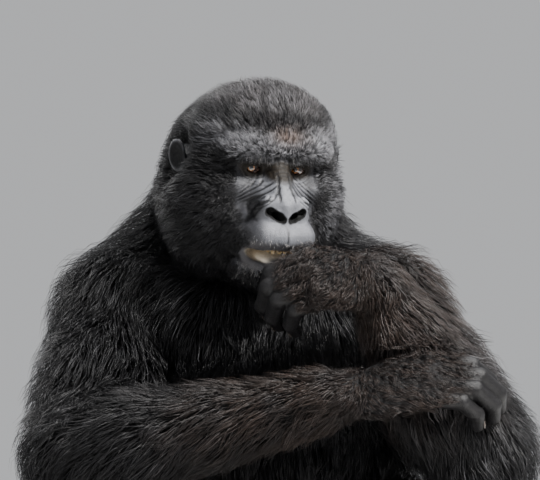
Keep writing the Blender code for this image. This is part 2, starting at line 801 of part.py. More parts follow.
def buildLimbs(shells):
    limbs = {}
    for key, field in (("left_leg", legEnvelope(leftLeg)), ("right_leg", legEnvelope(rightLeg)),
                       ("left_arm", armEnvelope(leftArm)), ("right_arm", armEnvelope(rightArm))):
        low, high = boxAround(field, (-0.55, -0.75, -0.05), (0.55, 0.35, 0.75))
        limbs[key] = solidOf(key, field, low, high, 0.0042)
    for key, leg in (("left_leg", leftLeg), ("right_leg", rightLeg)):
        heel = footFrame(leg)[0]

        def onFoot(c):
            return (c[:, 2] <= 0.085) & (c[:, 1] <= heel[1] + 0.05)

        thinWhere(limbs[key], lambda c: ~onFoot(c), 330)
        thinWhere(limbs[key], onFoot, 460)
        thin(limbs[key], 540)
    for key, arm in (("left_arm", leftArm), ("right_arm", rightArm)):
        wrist, forward = handFrame(arm)[:2]

        def onHand(c):
            return ((c - wrist) @ forward > -0.01) & (handField(c, arm) < 0.02)

        thinWhere(limbs[key], lambda c: ~onHand(c), 420)
        thinWhere(limbs[key], onHand, 640)
        thin(limbs[key], 660)
    order = list(limbs)
    for i, key in enumerate(order):
        for shell in shells:
            cutAway(limbs[key], shell)
        for earlier in order[:i]:
            cutAway(limbs[key], swollen(limbs[earlier], gap))
        limbs[key] = largest(limbs[key])
    return limbs


def partLimbs(limbs):
    nodes = {}
    for label, arm in (("left", leftArm), ("right", rightArm)):
        shoulder, elbow, wrist = vec(*arm["shoulder"]), vec(*arm["elbow"]), vec(*arm["wrist"])
        bisector = unit(unit(shoulder - elbow) - unit(wrist - elbow))
        upper, rest = split(limbs[f"{label}_arm"], elbow, bisector, 0.4, ("upper", "rest"))
        forward = handFrame(arm)[1]
        hand, forearm = split(rest, wrist, unit(forward + unit(wrist - elbow)), 0.075, ("hand", "forearm"))
        nodes[f"{label}_upper_arm"] = upper
        nodes[f"{label}_forearm"] = forearm
        nodes[f"{label}_hand"] = hand
    for label, leg in (("left", leftLeg), ("right", rightLeg)):
        hip, knee, ankle = vec(*leg["hip"]), vec(*leg["knee"]), vec(*leg["ankle"])
        bisector = unit(unit(hip - knee) - unit(ankle - knee))
        thigh, rest = split(limbs[f"{label}_leg"], knee, bisector, 0.4, ("thigh", "rest"))
        upShin = unit(knee - ankle)
        foot, shin = split(rest, ankle + upShin * 0.045, -upShin, 0.13, ("foot", "shin"))
        nodes[f"{label}_thigh"], nodes[f"{label}_shin"], nodes[f"{label}_foot"] = thigh, shin, foot
    return nodes


def buildAnimal():
    clearScene()
    hair = material("coat_hair", (0.014, 0.013, 0.014), 0.65)
    bare = material("bare_skin", (0.045, 0.043, 0.047), 0.45)
    horn = material("nail_horn", (0.05, 0.045, 0.042), 0.35)
    eyeLook = material("eye", (0.16, 0.07, 0.02), 0.12)
    toothLook = material("tooth", (0.42, 0.27, 0.09), 0.35)
    shells, nodes = buildTrunkAndHead()
    limbs = buildLimbs(shells)
    nodes.update(partLimbs(limbs))
    looks = {key: bare if key.endswith(("hand", "foot")) else hair for key in nodes}

    for label, side in (("left", 1), ("right", -1)):
        centre = fromHead([[eyeHalfGap * side, eyeDepth, 0]])[0]
        eye = globe(f"{label}_eye", centre, (eyeRadius / 1000,) * 3, headAxes.T, 8, 12)
        cutAway(nodes["head"], swollen(eye, gap))
        nodes[f"{label}_eye"] = eye
        looks[f"{label}_eye"] = eyeLook

        def shape(p):
            return earField(p, side) - 0.0012

        low, high = boxAround(shape, (-0.3, -0.35, 0.4), (0.3, 0.25, 0.9), 0.01)
        ear = thin(solidOf("ear", shape, low, high, 0.0022), 150)
        cutAway(ear, swollen(nodes["head"], gap))
        nodes[f"{label}_ear"] = largest(ear)
        looks[f"{label}_ear"] = bare
    low, high = boxAround(teethField, (-0.3, -0.35, 0.4), (0.3, 0.25, 0.9), 0.01)
    teeth = thin(solidOf("teeth", teethField, low, high, 0.0013), 150)
    cutAway(nodes["head"], swollen(teeth, gap))
    nodes["head"] = largest(nodes["head"])
    nodes["upper_teeth"] = teeth
    looks["upper_teeth"] = toothLook

    others = {
        "left_hand": [bodyEnvelope, armEnvelope(rightArm)],
        "right_hand": [bodyEnvelope, armEnvelope(leftArm), legEnvelope(leftLeg)],
        "left_foot": [], "right_foot": [],
    }
    sources = {
        "left_hand": (fingerBones(leftArm), fingerBack(leftArm)),
        "right_hand": (fingerBones(rightArm), fingerBack(rightArm)),
        "left_foot": (toeBones(leftLeg), lambda i, run: vec(0, 0, 1)),
        "right_foot": (toeBones(rightLeg), lambda i, run: vec(0, 0, 1)),
    }
    for key, (bones, dorsal) in sources.items():
        nails = nailsOn(key, bones, dorsal, others[key])
        for nail in nails:
            cutAway(nodes[key], swollen(nail, gap))
            nodes[nail.name] = nail
            looks[nail.name] = horn
        nodes[key] = largest(nodes[key])
    for name, obj in nodes.items():
        finish(obj, name, looks[name])
        obj.data.transform(Matrix.Translation(Vector(originShift)))
    for obj in tools.objects:
        obj.hide_render = True
        obj.display_type = "WIRE"
    print(sum(triangleCount(obj) for obj in animal.objects), "triangles in", len(animal.objects), "parts")


buildAnimal()
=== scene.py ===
import math
import bmesh
import bpy
import numpy as np
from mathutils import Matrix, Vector
from mathutils.kdtree import KDTree


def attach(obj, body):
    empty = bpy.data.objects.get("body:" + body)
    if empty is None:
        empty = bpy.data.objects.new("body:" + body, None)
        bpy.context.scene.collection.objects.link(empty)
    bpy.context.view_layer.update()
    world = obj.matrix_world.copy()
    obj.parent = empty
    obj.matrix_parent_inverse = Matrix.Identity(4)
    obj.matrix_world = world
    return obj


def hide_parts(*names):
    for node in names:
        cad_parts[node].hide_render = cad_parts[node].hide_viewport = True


# A sitting mountain gorilla: one skin over the whole animal, mesh locks of hair on it,
# wet eyes, horn nails and stained teeth. Metres; the head's own numbers are millimetres.
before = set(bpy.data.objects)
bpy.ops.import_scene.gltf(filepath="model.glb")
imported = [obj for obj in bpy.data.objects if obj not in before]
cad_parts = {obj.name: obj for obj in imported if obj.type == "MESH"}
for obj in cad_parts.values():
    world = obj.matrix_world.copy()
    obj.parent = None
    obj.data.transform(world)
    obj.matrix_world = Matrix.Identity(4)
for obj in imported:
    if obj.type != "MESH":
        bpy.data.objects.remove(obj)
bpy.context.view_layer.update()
draws = np.random.default_rng(41)

# head: millimetres in its own frame, origin midway between the pupils
headOrigin = (0.0203, -0.165, 0.678)
headTurn = (13.0, 21.0, 2.6)  # pitch down, yaw to the left, roll, in degrees
eyeHalfGap = 32.0
eyeRadius = 11.4
eyeDepth = 13.4
earCentre = (115.0, 86.0, -3.0)

# places of the joints in metres, and the bends of the finger joints in degrees
leftArm = {
    "side": 1,
    "shoulder": (0.150, 0.030, 0.486),
    "elbow": (0.302, -0.168, 0.288),
    "wrist": (0.142, -0.226, 0.530),
    "knuckles": (0.071, -0.268, 0.536),
    "back": (0.28, -0.74, 0.60),
    "flex": (50, 56, 34),
    "thumb": (0.95, -0.15, -0.42),
}
rightArm = {
    "side": -1,
    "shoulder": (-0.184, 0.024, 0.490),
    "elbow": (-0.252, -0.184, 0.290),
    "wrist": (0.112, -0.268, 0.376),
    "knuckles": (0.226, -0.284, 0.397),
    "back": (0.05, -0.70, 0.72),
    "flex": (22, 42, 34),
    "thumb": (0.85, 0.25, -0.50),
}
leftLeg = {
    "side": 1,
    "hip": (0.105, 0.010, 0.140),
    "knee": (0.335, -0.225, 0.150),
    "ankle": (0.128, -0.372, 0.078),
    "toes": (0.070, -0.590, 0.0),
}
rightLeg = {
    "side": -1,
    "hip": (-0.105, 0.010, 0.140),
    "knee": (-0.340, -0.215, 0.150),
    "ankle": (-0.138, -0.362, 0.078),
    "toes": (-0.112, -0.588, 0.0),
}

arms = (leftArm, rightArm)
legs = (leftLeg, rightLeg)

coatDeep = {  # depth of the coat over the skin, metres
    "trunk": 0.034,
    "neck": 0.030,
    "crown": 0.020,
    "cheek": 0.020,
    "upperArm": 0.040,
    "forearm": 0.030,
    "hand": 0.007,
    "thigh": 0.030,
    "shin": 0.026,
    "foot": 0.005,
}
originShift = (0.0027, 0.1654, 0.0)  # from the joints' frame to the model's


def vec(*xyz):
    return np.array(xyz, dtype=float)


def unit(v):
    v = np.asarray(v, dtype=float)
    return v / np.linalg.norm(v)


def turnMatrix(pitch, yaw, roll):
    a, b, c = (math.radians(v) for v in (pitch, yaw, roll))
    rx = np.array([[1, 0, 0], [0, math.cos(a), -math.sin(a)], [0, math.sin(a), math.cos(a)]])
    rz = np.array([[math.cos(b), -math.sin(b), 0], [math.sin(b), math.cos(b), 0], [0, 0, 1]])
    ry = np.array([[math.cos(c), 0, math.sin(c)], [0, 1, 0], [-math.sin(c), 0, math.cos(c)]])
    return ry @ rz @ rx


headAxes = turnMatrix(*headTurn)


def toHead(points):
    return (points - np.array(headOrigin)) @ headAxes * 1000.0


def fromHead(local):
    return np.asarray(local, dtype=float) / 1000.0 @ headAxes.T + np.array(headOrigin)


# distance to simple forms: negative inside
def ball(points, centre, radii):
    q = points - np.asarray(centre, dtype=float)
    r = np.asarray(radii, dtype=float)
    k0 = np.linalg.norm(q / r, axis=1)
    k1 = np.linalg.norm(q / (r * r), axis=1)
    return k0 * (k0 - 1.0) / np.maximum(k1, 1e-9)


def tiltedBall(points, centre, radii, axes):
    return ball((points - np.asarray(centre, dtype=float)) @ np.array(axes).T, (0, 0, 0), radii)


def limb(points, a, b, ra, rb):
    a = np.asarray(a, dtype=float)
    axis = np.asarray(b, dtype=float) - a
    t = np.clip((points - a) @ axis / (axis @ axis), 0.0, 1.0)
    return np.linalg.norm(points - a - t[:, None] * axis, axis=1) - (ra + (rb - ra) * t)


def distance(points, place):
    return np.linalg.norm(points - np.asarray(place, dtype=float), axis=1)


def blend(a, b, k):
    h = np.clip(0.5 + 0.5 * (b - a) / k, 0.0, 1.0)
    return b + (a - b) * h - k * h * (1.0 - h)


def carve(a, b, k):
    return -blend(-a, b, k)


def ramp(x, lo, hi):
    t = np.clip((x - lo) / (hi - lo), 0.0, 1.0)
    return t * t * (3.0 - 2.0 * t)


def chain(points, stops, k, base=None):
    d = base
    for (a, ra), (b, rb) in zip(stops, stops[1:]):
        part = limb(points, a, b, ra, rb)
        d = part if d is None else blend(d, part, k)
    return d


def lumps(points, forms, d=None):
    # balls joined one after another: centre, radii and softness of the join
    for centre, radii, k in forms:
        part = ball(points, centre, radii)
        d = part if d is None else blend(d, part, k)
    return d


def mirroredIn(q):
    return np.stack([np.abs(q[:, 0]), q[:, 1], q[:, 2]], axis=1)


def fromEarAt(q):
    return mirroredIn(q) - vec(*earCentre)


# the head, symmetric about its own middle plane
headForms = {
    # balls: centre, radii, softness of the join
    "skull": (
        ((0, 100, -46), (112, 108, 128), 0),
        ((0, 62, -22), (80, 68, 80), 16),
        ((0, 60, 38), (84, 64, 54), 18),
        ((66, 46, -54), (40, 50, 50), 22),
        ((50, 64, -112), (46, 56, 42), 24),
    ),
    "cheekbone": (((52, 8, -28), (24, 18, 15), 12),),
    "muzzle": (((0, 12, -80), (60, 78, 34), 16),),
    "jaw": (((0, 14, -134), (50, 60, 28), 0), ((0, -18, -144), (32, 30, 21), 14)),
    "tongue": (((0, -18, -116), (26, 38, 8), 3),),
    "nosePad": (((12, -40, -50), (21, 18, 18), 0),),
    # runs: place and radius of each stop
    "browRidge": (((0, 0, 31), 11.5), ((32, -6, 36), 11.5), ((62, 9, 28), 10.5), ((78, 34, 4), 10)),
    "snout": (((0, 22, 2), 26), ((0, 2, -36), 34), ((0, -8, -62), 44)),
    "noseBridge": (((0, 2, 16), 10), ((0, -15, -12), 13), ((0, -36, -34), 17)),
    "upperLip": (((0, -59, -81), 15), ((28, -48, -81), 15), ((51, -10, -93), 9)),
    "mouthCorner": (((50, 0, -98), 14), ((46, 26, -112), 20)),
    "lowerLip": (((0, -43, -129), 9), ((26, -34, -126), 9), ((50, -4, -103), 8)),
    "noseWing": (((7, -48, -34), 10), ((25, -41, -37), 10), ((31, -34, -51), 9.5), ((20, -43, -66), 6.5)),
    "septum": (((0, -53, -38), 8), ((0, -57, -61), 5.5)),
    "nostril": (((6.8, -62, -54.5), 4.2), ((22.5, -52, -46), 5.6)),
    "nostrilTop": (((10, -55, -52), 5.4), ((17, -36, -49), 4.6)),
    # hollows: centre, radii
    "eyeSocket": ((33, -14, 1), (23, 20, 14)),
    "mouth": ((0, -38, -108), (42, 36, 13)),
    "lidGap": ((eyeHalfGap, 2, -0.3), (10.4, 14, 4.9)),
}
lidThickness = 2.2


def nostrils(m):
    return chain(m, headForms["nostrilTop"], 3, chain(m, headForms["nostril"], 3))


def headField(q):
    m = mirroredIn(q)
    h = headForms
    d = chain(m, h["browRidge"], 14, lumps(m, h["skull"]))
    d = chain(m, h["snout"], 14, lumps(m, h["cheekbone"], d))
    d = carve(lumps(m, h["muzzle"], d), ball(m, *h["eyeSocket"]), 10)
    d = chain(m, h["noseBridge"], 12, d)
    d = chain(m, h["upperLip"], 14, d)
    d = chain(m, h["mouthCorner"], 14, d)
    d = blend(d, chain(m, h["lowerLip"], 10, lumps(m, h["jaw"])), 9)
    d = carve(d, ball(m, *h["mouth"]), 3)
    d = lumps(m, h["tongue"], d)
    d = blend(d, chain(m, h["noseWing"], 6, lumps(m, h["nosePad"])), 5)
    d = chain(m, h["septum"], 5, d)
    d = carve(d, nostrils(m), 2.2)
    # lids around the eyeball, parted by an almond opening
    d = blend(d, ball(m, (eyeHalfGap, eyeDepth, 0), (eyeRadius + lidThickness,) * 3), 4)
    return carve(d, ball(m, *h["lidGap"]), 1.0)


def faceMask(q):
    # 1 on bare face skin, 0 on the haired head
    x, y, z = mirroredIn(q).T
    front = 1.0 - ramp(y, 12, 32)
    wide = 1.0 - ramp(x + 9 * ramp(-z, 38, 62), 49, 65)
    top = 7.0 + 7.0 * np.exp(-(x / 13.0) ** 2)
    return front * wide * (1.0 - ramp(z - top, 0, 7)) * ramp(z, -140, -122)


def headCoat(q):
    soft = coatDeep["crown"] + (coatDeep["cheek"] - coatDeep["crown"]) * ramp(-q[:, 2], -20, 60)
    shorter = 0.20 + 0.80 * ramp(q[:, 1], -10, 60)  # towards the brow, and round the ear
    shorter = shorter * (0.15 + 0.85 * ramp(np.linalg.norm(fromEarAt(q), axis=1), 16, 52))
    return soft * shorter * (1.0 - faceMask(q)) + 0.0004


ear = {  # turn in degrees, then centre and radii in millimetres
    "turn": (0, -28, 6),
    "body": ((0, 0, 0), (6.5, 15, 23)),
    "lobe": ((-1, -6, -17), (5, 7, 7)),
    "bowl": ((7.8, -2.5, 1), (7.6, 10.5, 16.5)),
}


def earField(p, side):
    r = (toHead(p) * vec(side, 1, 1) - vec(*earCentre)) @ turnMatrix(*ear["turn"])
    solid = blend(ball(r, *ear["body"]), ball(r, *ear["lobe"]), 5)
    return carve(solid, ball(r, *ear["bowl"]), 3) / 1000.0


trunkForms = (  # centre, radii, softness of the join
    ((0, 0.085, 0.130), (0.180, 0.140, 0.142), 0),  # pelvis
    ((0.085, 0.120, 0.085), (0.085, 0.095, 0.100), 0.03),  # buttocks
    ((-0.085, 0.120, 0.085), (0.085, 0.095, 0.100), 0.03),
    ((0, -0.005, 0.265), (0.190, 0.160, 0.165), 0.05),  # belly
    ((0, 0.098, 0.290), (0.150, 0.098, 0.170), 0.05),  # loins
    ((0, 0.050, 0.420), (0.185, 0.140, 0.160), 0.05),  # chest
    ((0, 0.095, 0.510), (0.165, 0.095, 0.105), 0.05),  # upper back
    ((0.080, -0.045, 0.475), (0.085, 0.062, 0.065), 0.03),  # breast muscles
    ((-0.080, -0.045, 0.475), (0.085, 0.062, 0.065), 0.03),
)
neckRuns = (  # place and radius at both ends, softness of the join
    (((0, 0.085, 0.540), 0.085), ((-0.012, 0.010, 0.610), 0.092), 0.05),
    (((0, 0.110, 0.545), 0.070), ((-0.022, 0.030, 0.668), 0.078), 0.05),
    (((-0.062, 0.058, 0.636), 0.055), ((-0.148, 0.050, 0.553), 0.052), 0.04),  # the raised right shoulder
)


def trunkField(p):
    d = lumps(p, trunkForms)
    for low, high, k in neckRuns:
        d = chain(p, (low, high), k, d)
    return d


def trunkCoatAt(p):
    atNeck = ramp(p[:, 2], 0.50, 0.60)
    atFloor = 1 - ramp(p[:, 2], 0.0, 0.12)
    return coatDeep["trunk"] + (coatDeep["neck"] - coatDeep["trunk"]) * atNeck - 0.018 * atFloor


# arms
def handFrame(arm):
    wrist = vec(*arm["wrist"])
    forward = unit(vec(*arm["knuckles"]) - wrist)
    back = vec(*arm["back"])
    back = unit(back - forward * (back @ forward))
    thumbSide = np.cross(forward, back) if arm["side"] > 0 else np.cross(back, forward)
    return wrist, forward, back, thumbSide


fingerPlan = (  # offset to the thumb side, set back, length, radius
    (0.0335, 0.000, 1.00, 0.0122),
    (0.0115, -0.005, 1.08, 0.0128),
    (-0.0110, -0.001, 1.02, 0.0124),
    (-0.0320, 0.009, 0.86, 0.0110),
)
boneLengths = (0.056, 0.038, 0.024)
thumbPlan = {"first": 0.044, "joint": 0.030, "tip": 0.050, "radii": (0.0135, 0.0120, 0.0112, 0.0092)}


def fingerBones(arm):
    wrist, forward, back, thumbSide = handFrame(arm)
    knuckles = vec(*arm["knuckles"])
    bones = []
    for offset, setBack, length, radius in fingerPlan:
        at = knuckles + thumbSide * offset - forward * setBack
        angle = 0.0
        stops = [(at, radius * 1.06)]
        for i, (bend, bone) in enumerate(zip(arm["flex"], boneLengths)):
            angle += math.radians(bend)
            at = at + (forward * math.cos(angle) - back * math.sin(angle)) * bone * length
            stops.append((at, radius * (1.0, 0.94, 0.80)[i]))
        bones.append(stops)
    a, b, c = arm["thumb"]
    way = unit(forward * a + thumbSide * b + back * c)
    tip = unit(way + forward * 0.35)
    at = wrist + thumbSide * 0.026 + forward * 0.014 - back * 0.004
    knuckle = at + way * thumbPlan["first"]
    stops = (at, knuckle, knuckle + tip * thumbPlan["joint"], knuckle + tip * thumbPlan["tip"])
    bones.append(list(zip(stops, thumbPlan["radii"])))
    return bones


armPlan = {  # how far down each bone, and the radius there, metres
    "shoulder": (0.072, 0.076, 0.074),
    "upper": ((0.0, 0.066), (0.16, 0.056)),
    "middle": 0.043,
    "lower": ((0.09, 0.050), (0.20, 0.038)),
    "end": 0.029,
}
handPlan = {
    "palm": (0.62, 0.047, 0.0185),  # share of the reach to the knuckles, half width, half thickness
    "palmAt": 0.58,
    "knuckles": ((0.034, 0.0125), (-0.032, 0.0115)),  # towards the thumb, radius
}


def twoBones(top, middle, end, plan):
    # the stops of the upper and of the lower bone of a limb
    down, onward = unit(middle - top), unit(end - middle)
    joint = (middle, plan["middle"])
    upper = [(top + down * t, r) for t, r in plan["upper"]] + [joint]
    lower = [joint] + [(middle + onward * t, r) for t, r in plan["lower"]] + [(end, plan["end"])]
    return upper, lower


def armField(p, arm):
    shoulder, elbow, wrist = vec(*arm["shoulder"]), vec(*arm["elbow"]), vec(*arm["wrist"])
    upper, lower = twoBones(shoulder, elbow, wrist, armPlan)
    d = ball(p, shoulder + unit(elbow - shoulder) * 0.02, armPlan["shoulder"])
    d = chain(p, lower, 0.02, chain(p, upper, 0.03, d))
    return blend(d, handField(p, arm), 0.012)


def handField(p, arm):
    wrist, forward, back, thumbSide = handFrame(arm)
    knuckles = vec(*arm["knuckles"])
    reach, wide, thick = handPlan["palm"]
    middle = wrist + (knuckles - wrist) * handPlan["palmAt"]
    radii = (np.linalg.norm(knuckles - wrist) * reach, wide, thick)
    d = tiltedBall(p, middle, radii, (forward, thumbSide, back))
    d = chain(p, [(knuckles + thumbSide * t, r) for t, r in handPlan["knuckles"]], 0.010, d)
    for stops in fingerBones(arm):
        d = blend(d, chain(p, stops, 0.003), 0.004)
    return d


def along(p, a, b):
    a = np.asarray(a, dtype=float)
    axis = np.asarray(b, dtype=float) - a
    return (p - a) @ axis / (axis @ axis)


def towardsForearm(p, arm):
    # how much nearer a point lies to the forearm than to the upper arm
    upper = limb(p, arm["shoulder"], arm["elbow"], 0.05, 0.045)
    return upper - limb(p, arm["elbow"], arm["wrist"], 0.045, 0.03)


def armCoatAt(p, arm):
    wrist, forward, back = handFrame(arm)[:3]
    lower = ramp(along(p, arm["elbow"], arm["wrist"]), 0.1, 0.9)
    share = ramp(towardsForearm(p, arm), -0.03, 0.03)
    coat = coatDeep["upperArm"] + (coatDeep["forearm"] - 0.010 * lower - coatDeep["upperArm"]) * share
    beyond = (p - wrist) @ forward
    hand = ramp(beyond, -0.03, 0.03) * (1 - ramp(handField(p, arm), 0.004, 0.03))
    dorsal = ramp((p - wrist) @ back, -0.034, -0.010) * (1 - ramp(beyond, 0.098, 0.128))
    onHand = 0.0006 + coatDeep["hand"] * np.maximum(dorsal, 0.8 * fingerHair(p, arm))
    return coat * (1 - hand) + onHand * hand


def fingerHair(p, arm):
    # 1 on the backs of the first finger bones, fading towards the next joint
    out = np.zeros(len(p))
    forward, back, thumbSide = handFrame(arm)[1:]
    for (a, ra), (b, _) in (stops[:2] for stops in fingerBones(arm)[:4]):
        way = unit(b - a)
        up = unit(back * (way @ forward) - forward * (way @ back))
        t = (p - a) @ way / np.linalg.norm(b - a)
        off = (p - a) @ up / ra
        side = np.abs((p - a) @ thumbSide) / ra
        wave = 0.12 * np.sin(p[:, 0] * 900) * np.sin(p[:, 2] * 700)
        on = ramp(off, 0.0, 0.6) * (1 - ramp(t + wave, 0.45, 0.95)) * ramp(t, -0.3, 0.0)
        out = np.maximum(out, on * (1 - ramp(side, 1.1, 1.5)))
    return out


# legs
def footFrame(leg):
    ankle = vec(*leg["ankle"])
    toes = vec(*leg["toes"])
    forward = unit(vec(toes[0] - ankle[0], toes[1] - ankle[1], 0))
    medial = vec(-forward[1], forward[0], 0) * -leg["side"]
    heel = vec(ankle[0], ankle[1], 0) - forward * 0.025
    return heel, forward, medial


toePlan = (  # medial offset, start forward, length, radius, splay
    (0.0170, 0.172, 0.062, 0.0132, 0.10),
    (-0.0070, 0.172, 0.064, 0.0128, 0.02),
    (-0.0300, 0.162, 0.058, 0.0120, -0.06),
    (-0.0500, 0.146, 0.050, 0.0110, -0.14),
)
bigToe = {
    "start": (0.085, 0.030, 0.020),
    "run": (0.82, 0.58),  # forward and towards the middle
    "stops": ((0.0, 0.0, 0.021), (0.048, -0.002, 0.0175), (0.080, -0.007, 0.0145)),  # along, up, radius
}
footPlan = {  # forward from the heel, towards the middle, up, radius
    "sole": ((0.0, 0.0, 0.034, 0.034), (0.080, 0.0, 0.036, 0.036), (0.150, -0.008, 0.028, 0.030)),
    "ball": ((0.156, 0.018, 0.021, 0.022), (0.132, -0.046, 0.018, 0.018)),
}


def toeBones(leg):
    heel, forward, medial = footFrame(leg)
    bones = []
    for offset, start, length, radius, splay in toePlan:
        a = heel + forward * start + medial * offset + vec(0, 0, radius + 0.006)
        run = unit(forward + medial * splay)
        b = a + run * length * 0.55 + vec(0, 0, 0.003)
        c = a + run * length + vec(0, 0, -0.0085)
        bones.append([(a, radius * 1.1), (b, radius), (c, radius * 0.86)])
    ahead, inward, up = bigToe["start"]
    a = heel + forward * ahead + medial * inward + vec(0, 0, up)
    run = unit(forward * bigToe["run"][0] + medial * bigToe["run"][1])
    bones.append([(a + run * t + vec(0, 0, rise), r) for t, rise, r in bigToe["stops"]])
    return bones


def footField(p, leg):
    heel, forward, medial = footFrame(leg)
    d = None
    for part, k in (("sole", 0.02), ("ball", 0.015)):
        stops = [(heel + forward * f + medial * m + vec(0, 0, z), r) for f, m, z, r in footPlan[part]]
        d = chain(p, stops, k, d)
    for stops in toeBones(leg):
        d = blend(d, chain(p, stops, 0.004), 0.005)
    return d


legPlan = {
    "upper": ((0.0, 0.098), (0.16, 0.082)),
    "middle": 0.056,
    "lower": ((0.10, 0.050),),
    "end": 0.032,
}


def legField(p, leg):
    upper, lower = twoBones(vec(*leg["hip"]), vec(*leg["knee"]), vec(*leg["ankle"]), legPlan)
    d = chain(p, lower, 0.025, chain(p, upper, 0.04))
    return blend(d, footField(p, leg), 0.018)


def legCoatAt(p, leg):
    down = ramp(along(p, leg["knee"], leg["ankle"]), 0.0, 0.5)
    coat = coatDeep["thigh"] + (coatDeep["shin"] - coatDeep["thigh"]) * down
    foot = 1 - ramp(footField(p, leg), 0.006, 0.030)
    low = 1 - ramp(p[:, 2], 0.062, 0.105)
    coat = coat * (1 - foot * low) + (0.0005 + coatDeep["foot"] * ramp(p[:, 2], 0.02, 0.06)) * foot * low
    return coat * (0.35 + 0.65 * ramp(p[:, 2], 0.0, 0.07))


# the whole body as one field
limbKinds = {
    # softness of the join at the root and beyond it, the reach over which it changes, and spheres that
    # hold the limb: between which places, how far along, radius; metres
    "arm": {
        "limbs": arms,
        "field": armField,
        "root": "shoulder",
        "soft": (0.040, 0.004),
        "reach": (0.05, 0.17),
        "spheres": (
            ("wrist", "knuckles", 0.7, 0.165), ("shoulder", "elbow", 0.0, 0.17),
            ("shoulder", "elbow", 0.5, 0.16), ("elbow", "wrist", 0.0, 0.15),
            ("elbow", "wrist", 0.4, 0.15), ("elbow", "wrist", 0.8, 0.14),
        ),
    },
    "leg": {
        "limbs": legs,
        "field": legField,
        "root": "hip",
        "soft": (0.040, 0.010),
        "reach": (0.08, 0.20),
        "spheres": (
            ("ankle", "toes", 0.5, 0.20), ("hip", "knee", 0.0, 0.20),
            ("hip", "knee", 0.5, 0.20), ("knee", "ankle", 0.0, 0.17), ("knee", "ankle", 0.5, 0.16),
        ),
    },
}


def closeTo(points, spheres, field):
    # exact near the part, a rough distance further off, where nothing needs more
    off = np.min([distance(points, c) - r for c, r in spheres], axis=0)
    out = off + 0.05
    inside = off < 0
    if inside.any():
        out[inside] = field(points[inside])
    return out


def midway(a, b, t):
    return vec(*a) * (1 - t) + vec(*b) * t


headSpheres = [(headOrigin, 0.16), (fromHead([0, 100, -20]), 0.20)]
earSpheres = {side: [(fromHead(vec(*earCentre) * vec(side, 1, 1)), 0.06)] for side in (1, -1)}


def partFields(p):
    parts = {"trunk": trunkField(p)}
    parts["head"] = closeTo(p, headSpheres, lambda s: headField(toHead(s)) / 1000.0)
    for kind, s in limbKinds.items():
        for one in s["limbs"]:
            spheres = [(midway(one[a], one[b], t), r) for a, b, t, r in s["spheres"]]
            parts[kind, one["side"]] = closeTo(p, spheres, lambda near: s["field"](near, one))
    return parts


def joined(p, parts):
    d = blend(parts["trunk"], parts["head"], 0.020)
    for side in (1, -1):
        d = blend(d, closeTo(p, earSpheres[side], lambda s: earField(s, side)), 0.003)
    for kind, s in limbKinds.items():
        near, far = s["soft"]
        for one in s["limbs"]:
            k = near + (far - near) * ramp(distance(p, one[s["root"]]), *s["reach"])
            d = blend(d, parts[kind, one["side"]], k)
    return np.maximum(d, 0.001 - p[:, 2])  # flat where it sits, a millimetre above the floor


def skinField(p):
    return joined(p, partFields(p))


def inRuns(field, p, size=200000):
    return np.concatenate([field(p[i:i + size]) for i in range(0, len(p), size)])


# from the field to a mesh: fine where face, hands and feet are
skinGrid = {  # start of each stretch in metres, spacing in it in millimetres
    "x": ((-0.45, 9.0), (-0.18, 3.8), (-0.075, 2.8), (0.335, 9.0), (0.45, 0)),
    "y": ((-0.62, 3.8), (-0.325, 2.8), (-0.105, 9.0), (0.29, 0)),
    "z": ((-0.02, 3.8), (0.09, 9.0), (0.30, 2.8), (0.74, 9.0), (0.83, 0)),
}


def gridLine(stops):
    # positions along one axis, with a count that halves evenly twice
    line = []
    for (start, step), (end, _) in zip(stops, stops[1:]):
        count = max(1, round((end - start) * 1000 / step))
        line.append(np.linspace(start, end, count, endpoint=False))
    line = np.concatenate(line + [[stops[-1][0]]])
    spare = (-(len(line) - 1)) % 4
    extra = line[-1] + (line[-1] - line[-2]) * np.arange(1, spare + 1)
    return np.concatenate([line, extra])


def doubled(values):
    for axis in range(3):
        v = np.moveaxis(values, axis, 0)
        out = np.empty((2 * v.shape[0] - 1,) + v.shape[1:])
        out[0::2] = v
        out[1::2] = 0.5 * (v[:-1] + v[1:])
        values = np.moveaxis(out, 0, axis)
    return values


def gridValues(lines, field):
    # exact only close to the surface, worked out in three passes of finer spacing
    values = None
    for stride in (4, 2, 1):
        coarse = [line[::stride] for line in lines]
        shape = tuple(len(line) for line in coarse)
        if values is None:
            at = np.indices(shape).reshape(3, -1).T
            values = np.zeros(shape)
        else:
            values = doubled(values)
            reach = np.zeros(shape)
            for axis, line in enumerate(coarse):
                step = np.gradient(line)
                reach = np.maximum(reach, step.reshape([-1 if i == axis else 1 for i in range(3)]))
            at = np.argwhere(np.abs(values) < 1.5 * reach)  # a band of one and a half cells
        p = np.stack([coarse[i][at[:, i]] for i in range(3)], axis=1)
        values[tuple(at.T)] = inRuns(field, p)
    values[values == 0.0] = 1e-9
    return values


